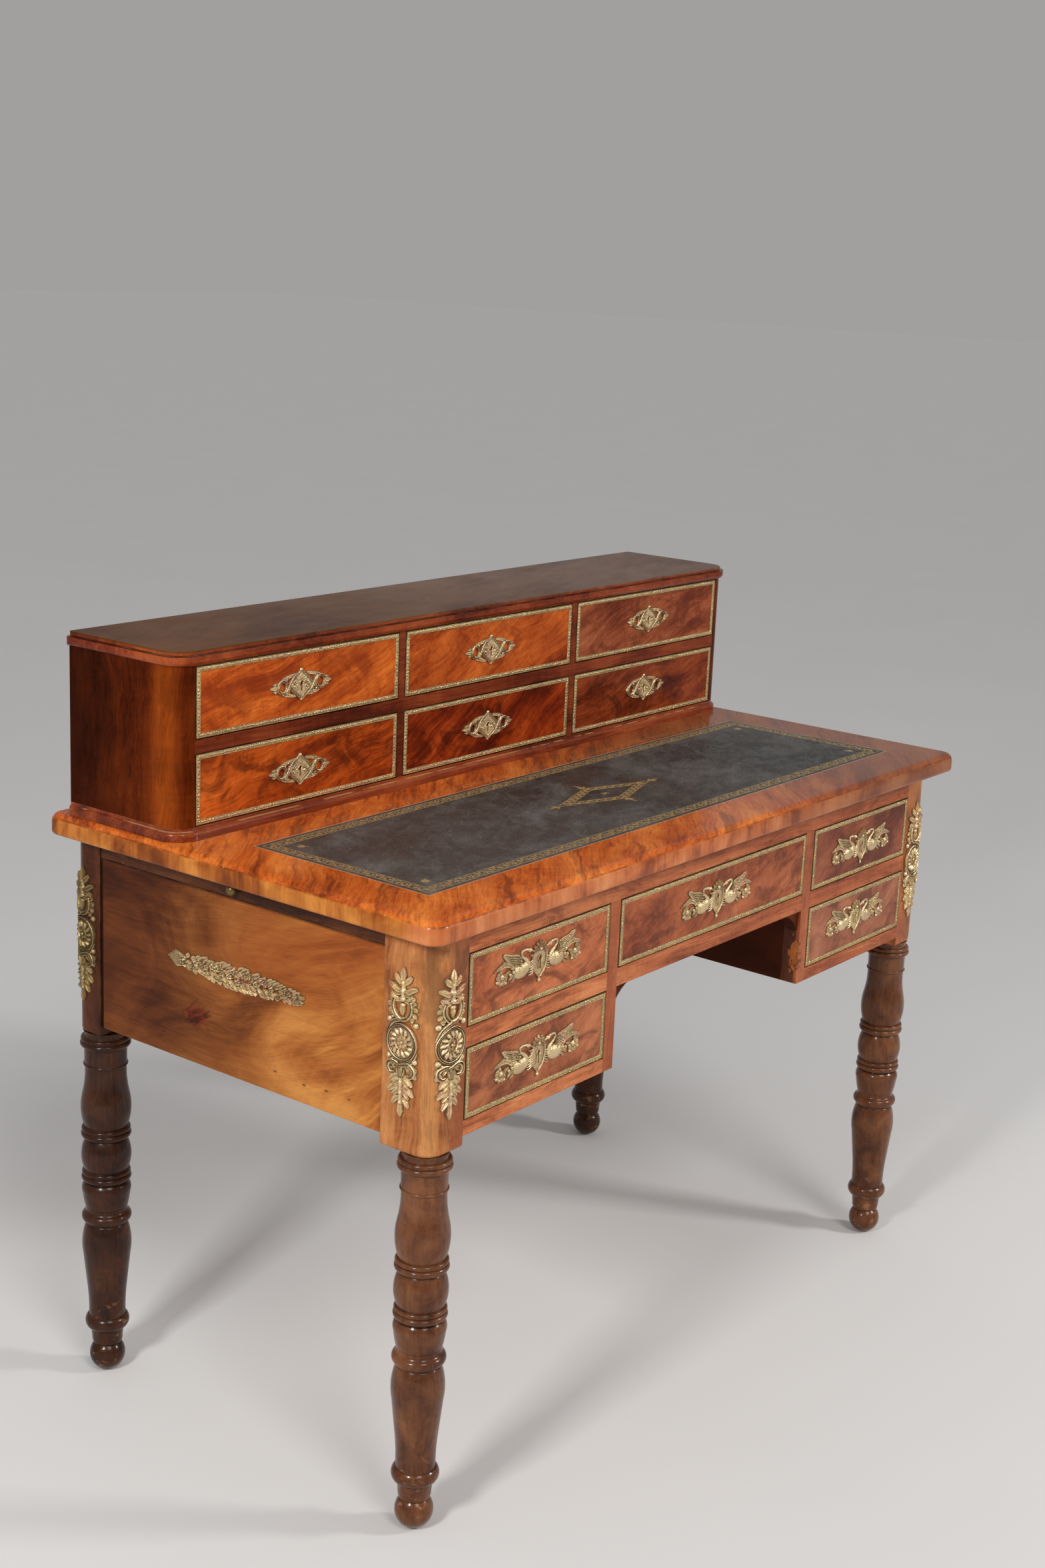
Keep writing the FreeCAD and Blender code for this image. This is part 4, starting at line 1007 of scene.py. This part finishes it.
def beading(half_x, half_y, seed):
    """Stamped brass band round a drawer front, centred on the origin, in millimetres."""
    bm = bmesh.new()
    band, pitch = sizes().bead_width / MM, sizes().bead_pitch / MM
    draws = random.Random(seed)
    insets = (0, 0.7, band / 2, band - 0.7, band)
    outer, first, middle, last, inner = (rectangle(half_x - inset, half_y - inset) for inset in insets)
    plate(bm, outer, 0.4, inner, 0.3, 1.4)
    for line in (first, last):
        for ends in sides(line):
            stroke(bm, ends, (1.1, 1.1), 0.95, ROUND, 1)
    for (x0, y0), (x1, y1) in sides(middle):
        count = max(round(math.hypot(x1 - x0, y1 - y0) / pitch), 2)
        along = math.atan2(y1 - y0, x1 - x0)
        for i in range(count):
            share = (i + 0.5 + draws.uniform(-0.2, 0.2)) / count
            over = draws.uniform(-0.5, 0.5)
            x = x0 + (x1 - x0) * share - math.sin(along) * over
            y = y0 + (y1 - y0) * share + math.cos(along) * over
            lean = Matrix.Rotation(along + draws.uniform(-0.7, 0.7), 4, "Z")
            size = draws.uniform(2, 3), draws.uniform(1.4, 2), draws.uniform(0.5, 0.9)
            at = Matrix.Translation((x, y, 0.3)) @ lean @ Matrix.Diagonal((*size, 1))
            bmesh.ops.create_icosphere(bm, subdivisions=1, radius=1, matrix=at)
    return mark_relief(bm, "beading")


def lock(x, inside, top):
    """Lock case let into the back of a drawer front, with its screws and bolt."""
    bm = bmesh.new()
    case = bmesh.ops.create_cube(bm, size=1, matrix=sized((x, inside - 5, top - 29), (44, 10, 58)))["verts"]
    soften(bm, list({edge for vert in case for edge in vert.link_edges}), 0.8)
    for dx, dz in ((-16, -8), (-16, -50), (16, -8), (16, -50)):
        head = sized((x + dx, inside, top + dz), (3, 1, 3))
        bmesh.ops.create_icosphere(bm, subdivisions=2, radius=1, matrix=head)
    bmesh.ops.create_cube(bm, size=1, matrix=sized((x, inside - 5, top - 1.5), (16, 5, 2)))
    return bm


def mark_relief(bm, kind):
    """Keep each point's height over the ground as a share, for the finish."""
    layer = bm.verts.layers.float.new("relief")
    for vert in bm.verts:
        vert[layer] = min(max(vert.co.z / RELIEF[kind], 0), 1)
    return bm


def placed(template, matrix):
    """Copy of a template, moved to its place."""
    bm = template.copy()
    bmesh.ops.transform(bm, matrix=matrix, verts=bm.verts)
    return bm


def linked(name, data):
    """Object in the scene with this data."""
    made = bpy.data.objects.new(name, data)
    bpy.context.scene.collection.objects.link(made)
    return made


def to_mesh(bm, name, made):
    """Mesh with a finish, which takes the place of the one it is made from."""
    mesh = bpy.data.meshes.new(name)
    bm.to_mesh(mesh)
    bm.free()
    mesh.materials.append(made)
    return mesh


def build(bm, name, made, body, replaced=(), crease=40):
    """Turn a mesh in millimetres into a piece that rides on a body."""
    bmesh.ops.recalc_face_normals(bm, faces=bm.faces)
    bmesh.ops.scale(bm, vec=(MM, MM, MM), verts=bm.verts)
    mesh = to_mesh(bm, name, made)
    mesh.shade_smooth()
    mesh.set_sharp_from_angle(angle=math.radians(crease))
    piece = linked(name, mesh)
    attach(piece, body)
    if replaced:
        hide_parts(*replaced)


def facing(x, y, z):
    """Place for work on a front: its X to the right, its Y up, its height towards the front."""
    return Matrix(((1, 0, 0, x), (0, 0, -1, y), (0, 1, 0, z), (0, 0, 0, 1)))


def node_box(node):
    """Lowest and highest corner of a CAD node in millimetres."""
    lo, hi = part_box(node)
    return lo / MM, hi / MM


class DESK_OT_woods(bpy.types.Operator):
    """Veneer the carcass, the tier and the drawers"""
    bl_idname = "desk.woods"
    bl_label = "Veneers"

    def execute(self, context):
        dress(top_veneer(), "desk_top")
        dress(panel_veneer(), "side_panel_left", "side_panel_right")
        # The rear posts take a darker copy of the veneer without the front's marks: partly their own darker colour,
        # partly painted shade
        for end, glow, levels in (
            ("front", 1, ((120, 66, 33), (172, 104, 56), (208, 144, 86))),
            ("rear", 0, ((38, 15, 6), (70, 32, 14), (98, 52, 27))),
        ):
            dress(post_veneer(f"mahogany_{end}_post", levels, glow), f"{end}_posts")
        # The rear legs take a darker copy of the leg veneer: painted shade
        for end, coat, levels in (
            ("front", 0.3, ((57, 29, 14), (93, 52, 28), (131, 82, 49))),
            ("rear", 0.2, ((31, 14, 6), (53, 26, 13), (80, 46, 26))),
        ):
            dress(leg_veneer(f"mahogany_{end}_leg", levels, coat), f"leg_{end}_left", f"leg_{end}_right")
        dress(rail_veneer(), "front_rails")
        stile, wall = ((98, 43, 22), (148, 74, 40), (190, 106, 62)), ((58, 24, 14), (92, 42, 24), (124, 64, 38))
        dress(kneehole_veneer("mahogany_stile", stile, UPRIGHT), "front_stiles")
        dress(
            kneehole_veneer("mahogany_kneehole", wall, DEPTHWAYS, roughness=0.5, coat=0, gleam=0.04),
            "kneehole_panels", "kneehole_brackets",
        )
        # The slides' veneer is darkened: painted shade under the desk top
        slide = ((40, 20, 11), (72, 37, 20), (104, 60, 34))
        dress(veneer("mahogany_slide", slide, DEPTHWAYS), "side_slide_left", "side_slide_right")
        dress(tier_side_veneer(), "tier_sides")
        dress(tier_top_veneer(), "tier_top")
        dress(tier_base_veneer(), "tier_base")
        dress(divider_veneer(), "tier_dividers")
        for name, (degrees, smoke, *levels) in zip(TIER_DRAWERS, (
            (16, (134, 49, 14), (126, 44, 11), (184, 80, 23), (238, 130, 48)),
            (30, (124, 44, 14), (110, 36, 10), (164, 68, 20), (216, 112, 42)),
            (20, (96, 42, 22), (92, 36, 18), (138, 66, 37), (180, 106, 68)),
            (12, (82, 26, 7), (100, 32, 7), (164, 65, 15), (220, 108, 35)),
            (35, (60, 14, 3), (70, 16, 3), (122, 38, 9), (180, 76, 22)),
            (15, (56, 16, 5), (62, 16, 3), (106, 38, 13), (156, 74, 34)),
        )):
            dress_drawer(name, levels, degrees, (0.2, 0.035), 0.07, smoke, roughness=0.22, gleam=0.07)
        for name, levels in zip(TABLE_DRAWERS, (
            ((128, 63, 36), (180, 97, 58), (218, 131, 82)), ((112, 56, 35), (160, 90, 56), (196, 120, 79)),
            ((104, 46, 26), (152, 78, 45), (190, 110, 70)), ((84, 38, 25), (124, 63, 42), (160, 94, 62)),
            ((104, 56, 38), (148, 86, 60), (178, 114, 82)),
        )):
            dress_drawer(name, levels, 24, (0.12, 0.05), 0.09, (86, 42, 29), roughness=0.3, gleam=0.1)
        boxes = [f"{name}_drawer_box" for name in TABLE_DRAWERS + TIER_DRAWERS]
        dress(oak("oak_drawer", DEPTHWAYS), *boxes, "drawer_runners")
        dress(oak("oak_back", ALONG, BACK_BOARD * MM), "back_panel", "tier_back")
        return {"FINISHED"}


class DESK_OT_leather(bpy.types.Operator):
    """Finish the writing leather and lay its gilt tooling"""
    bl_idname = "desk.leather"
    bl_label = "Writing leather"

    def execute(self, context):
        dress(leather_finish(), "writing_leather")
        lo, hi = node_box("writing_leather")
        inset, width = sizes().border_inset / MM, sizes().border_width / MM
        half_x, half_y = (hi.x - lo.x) / 2, (hi.y - lo.y) / 2
        bm = bmesh.new()
        for away in (inset, inset + width):
            self.outline(bm, rectangle(half_x - away, half_y - away), 1.3)
        x, y = half_x - inset - width / 2, half_y - inset - width / 2
        self.band(bm, rectangle(x, y), BORDER_PITCH, BORDER_MOTIF)
        x, y = x - width * 1.55, y - width * 1.5
        for sx, sy in ((-1, -1), (-1, 1), (1, -1), (1, 1)):
            inward = math.atan2(-sy, -sx)
            for lean, far in ((-0.5, 9), (0, 13), (0.5, 9)):
                self.gild(bm, ray(sx * x, sy * y, inward + lean, far / 2, far), (1.6, 4.6, 0.8), 2)
            for lean in (-1.2, 1.2):
                self.gild(bm, ray(sx * x, sy * y, inward + lean, 7), (3.6, 1))
        self.lozenge(bm)
        centre = (lo.x + hi.x) / 2, (lo.y + hi.y) / 2, hi.z - GILT_SUNK
        bmesh.ops.translate(bm, verts=bm.verts, vec=centre)
        build(bm, "leather_tooling", gilt_finish(), "carcass", crease=20)
        return {"FINISHED"}

    def gild(self, bm, points, widths, steps=1):
        """Stroke of gold."""
        stroke(bm, points, widths, GILT_RISE, FLAT, steps)

    def outline(self, bm, corners, width):
        """Gold line along each side."""
        for ends in sides(corners):
            self.gild(bm, ends, (width, width))

    def band(self, bm, corners, pitch, motif):
        """Strokes again and again along each side, every second time turned over."""
        for (x0, y0), (x1, y1) in sides(corners):
            run = math.hypot(x1 - x0, y1 - y0)
            ux, uy = (x1 - x0) / run, (y1 - y0) / run
            count = round(run / pitch)
            for i in range(count):
                middle, flip = (i + 0.5) * run / count, 1 if i % 2 else -1
                for widths, steps, points in motif:
                    places = [(middle + along, across * flip) for along, across in points]
                    path = [(x0 + ux * s - uy * t, y0 + uy * s + ux * t) for s, t in places]
                    self.gild(bm, path, widths, steps)

    def lozenge(self, bm):
        """Gilt lozenge in the middle of the leather."""
        half_x, half_y = sizes().lozenge_length / MM / 2, sizes().lozenge_depth / MM / 2
        shrink = sizes().lozenge_band / MM * math.hypot(half_x, half_y) / half_y / half_x
        tips = [(half_x, 0), (0, half_y), (-half_x, 0), (0, -half_y)]
        outer, middle, inner = ([(x * s, y * s) for x, y in tips] for s in (1, 1 - shrink / 2, 1 - shrink))
        self.outline(bm, outer, 1.6)
        self.outline(bm, inner, 1.6)
        self.band(bm, middle, LOZENGE_PITCH, LOZENGE_MOTIF)
        for x, y in tips:
            for lean, far in ((-0.75, 10), (0, 19), (0.75, 10)):
                self.gild(bm, ray(x, y, math.atan2(y, x) + lean, far / 2, far), (2, 5, 0.8), 2)
        for i in range(4):
            a = math.pi / 4 + i * math.pi / 2
            self.gild(bm, [(0, 0), (8.4 * math.cos(a), 4.5 * math.sin(a))], (4.4, 1.6))


class DESK_OT_drawer_brass(bpy.types.Operator):
    """Make the beading, the escutcheons and the locks of the drawers"""
    bl_idname = "desk.drawer_brass"
    bl_label = "Drawer brass"

    def execute(self, context):
        brass, bead = brass_finish("aged_brass", 0.92), brass_finish("aged_brass_bead", 0.68, 0.2)
        iron = iron_finish()
        plates = {"swan": swan_plate(), "lozenge": lozenge_plate(), "broken": lozenge_plate(False)}
        for kind, template in plates.items():
            mark_relief(template, kind)
        for seed, name in enumerate(TABLE_DRAWERS + TIER_DRAWERS):
            lo, hi = node_box(f"{name}_drawer_front")
            x, z = (lo.x + hi.x) / 2, (lo.z + hi.z) / 2
            band = beading((hi.x - lo.x) / 2 - BEADING_GAP, (hi.z - lo.z) / 2 - BEADING_GAP, seed)
            kind = "swan" if name in TABLE_DRAWERS else "broken" if name == "tier_lower_right" else "lozenge"
            dx, dz = PLATE_SHIFTS[name]
            for bm, piece, made, crease in (
                (placed(band, facing(x, lo.y, z)), "beading", bead, 50),
                (placed(plates[kind], facing(x + dx, lo.y, z + dz)), "escutcheon", brass, 40),
                (lock(x, hi.y, hi.z), "lock", iron, 30),
            ):
                build(bm, f"{name}_{piece}", made, f"{name}_drawer", [f"{name}_drawer_fittings"], crease)
            band.free()
        for template in plates.values():
            template.free()
        return {"FINISHED"}


class DESK_OT_post_mounts(bpy.types.Operator):
    """Make the tall leaf mounts and bend them round the posts"""
    bl_idname = "desk.post_mounts"
    bl_label = "Post mounts"

    def execute(self, context):
        # The rear mounts take a darker copy of the brass: painted shade
        bright, shaded = brass_finish("aged_brass_mount"), brass_finish("shaded_brass_mount", 0.46, 0.25)
        template = mark_relief(post_mount(), "mount")
        lo, hi = node_box("corner_mounts")
        front_lo, front_hi = node_box("front_posts")
        rear_lo, rear_hi = node_box("rear_posts")
        for post, face, middle, edge, way in (
            ("front", "front", front_lo.x + MOUNT_FROM_SIDE, front_lo.x + POST_RADIUS, -1),
            ("front", "side", front_hi.y - MOUNT_FROM_PANEL, front_lo.y + POST_RADIUS, -1),
            ("rear", "side", rear_lo.y + MOUNT_FROM_PANEL, rear_hi.y - POST_RADIUS, 1),
        ):
            for hand, side in (("left", 1), ("right", -1)):
                bm = template.copy()
                for vert in bm.verts:
                    u, v, w = vert.co
                    at = middle + u if face == "front" else middle - u
                    along, out = self.wrap((at - edge) * way, w)
                    run = edge + along * way
                    x, y = (run, front_lo.y - out) if face == "front" else (front_lo.x - out, run)
                    vert.co = (x * side, y, (lo.z + hi.z) / 2 + v)
                made = shaded if post == "rear" else bright
                build(bm, f"post_mount_{post}_{hand}_{face}", made, "carcass", ["corner_mounts"])
        template.free()
        return {"FINISHED"}

    def wrap(self, past_edge, over):
        """Where a point comes to lie, along and out, from how far it is past the start of a post's rounded edge and
        over the face."""
        if past_edge <= 0:
            return past_edge, over
        turn, reach = past_edge / POST_RADIUS, POST_RADIUS + over
        return reach * math.sin(turn), reach * math.cos(turn) - POST_RADIUS


class DESK_OT_garlands(bpy.types.Operator):
    """Make the flower garlands of the side panels"""
    bl_idname = "desk.garlands"
    bl_label = "Garlands"

    def execute(self, context):
        brass = brass_finish("aged_brass_garland")
        template = mark_relief(garland(), "garland")
        lo, hi = node_box("side_garlands")
        y, z = (lo.y + hi.y) / 2, (lo.z + hi.z) / 2
        panel = node_box("side_panel_left")[0].x
        for hand, side in (("left", -1), ("right", 1)):
            place = Matrix(((0, 0, side, -panel * side), (-1, 0, 0, y), (0, 1, 0, z), (0, 0, 0, 1)))
            build(placed(template, place), f"side_garland_{hand}", brass, "carcass", ["side_garlands"])
        template.free()
        return {"FINISHED"}


class DESK_OT_knobs(bpy.types.Operator):
    """Finish the brass knobs of the side slides"""
    bl_idname = "desk.knobs"
    bl_label = "Slide knobs"

    def execute(self, context):
        dress(knob_finish(), "slide_knob_left", "slide_knob_right")
        return {"FINISHED"}


class DESK_OT_stage(bpy.types.Operator):
    """Set the floor, the lamps and the camera"""
    bl_idname = "desk.stage"
    bl_label = "Stage"

    def execute(self, context):
        scene = context.scene
        scene.view_settings.view_transform = "Standard"
        bm = bmesh.new()
        bmesh.ops.create_grid(bm, x_segments=1, y_segments=1, size=FLOOR_HALF)
        made, place = material("studio_floor")
        tone = tuple(finish().floor)
        shade = place.cloud(0.4, 3).mix(tuple(c * 0.96 for c in tone), tone)
        feed(made, Base_Color=shade, Roughness=0.85, Specular_IOR_Level=0.2)
        floor = linked("studio_floor", to_mesh(bm, "studio_floor", made))
        scene.world = bpy.data.worlds.new("studio")
        scene.world.use_nodes = True
        nodes = scene.world.node_tree.nodes
        height = Value(nodes.new("ShaderNodeTexCoord").outputs["Generated"]).axes()[2]
        shade = height.fade(0.14, 0.45).mix((0.42, 0.42, 0.42), (0.30, 0.30, 0.31))
        rays = nodes.new("ShaderNodeLightPath").outputs
        seen = Value(rays["Is Camera Ray"]) + Value(rays["Is Glossy Ray"]) + Value(rays["Is Transmission Ray"])
        plug(seen.math("MINIMUM", 1).mix(shade, (0.355, 0.350, 0.345)), nodes["Background"].inputs["Color"])
        for name, kind, place, power, soft in LAMPS:
            lamp = bpy.data.lights.new(name, kind)
            lamp.energy = power
            if kind == "SUN":
                lamp.angle = soft
            else:
                lamp.size = soft
            holder = linked(name, lamp)
            holder.location = place
            holder.rotation_euler = (LAMP_AIM - Vector(place)).to_track_quat("-Z", "Y").to_euler()
        lens = bpy.data.cameras.new("photo_camera")
        lens.sensor_fit = "VERTICAL"
        lens.sensor_height = SENSOR_HEIGHT
        lens.lens = FOCAL_LENGTH
        scene.camera = linked("photo_camera", lens)
        scene.camera.matrix_world = CAMERA_PLACE
        return {"FINISHED"}


class DESK_PT_desk(bpy.types.Panel):
    """Pieces and finishes of the desk"""
    bl_idname = "DESK_PT_desk"
    bl_label = "Stepped desk"
    bl_space_type = "VIEW_3D"
    bl_region_type = "UI"
    bl_category = "Desk"

    def draw(self, context):
        for operator in OPERATORS:
            self.layout.operator(operator.bl_idname)
        for group in (context.scene.desk_finish, context.scene.desk_sizes):
            for name in group.bl_rna.properties.keys():
                if name not in ("rna_type", "name"):
                    self.layout.prop(group, name)


OPERATORS = (
    DESK_OT_woods, DESK_OT_leather, DESK_OT_drawer_brass, DESK_OT_post_mounts, DESK_OT_garlands, DESK_OT_knobs,
    DESK_OT_stage,
)
CLASSES = (DeskFinish, DeskSizes, *OPERATORS, DESK_PT_desk)


def register():
    for made in CLASSES:
        bpy.utils.register_class(made)
    bpy.types.Scene.desk_finish = bpy.props.PointerProperty(type=DeskFinish)
    bpy.types.Scene.desk_sizes = bpy.props.PointerProperty(type=DeskSizes)


def unregister():
    del bpy.types.Scene.desk_sizes
    del bpy.types.Scene.desk_finish
    for made in reversed(CLASSES):
        bpy.utils.unregister_class(made)


def main():
    register()
    bpy.ops.desk.woods()
    bpy.ops.desk.leather()
    bpy.ops.desk.drawer_brass()
    bpy.ops.desk.post_mounts()
    bpy.ops.desk.garlands()
    bpy.ops.desk.knobs()
    bpy.ops.desk.stage()


if __name__ == "__main__":
    main()
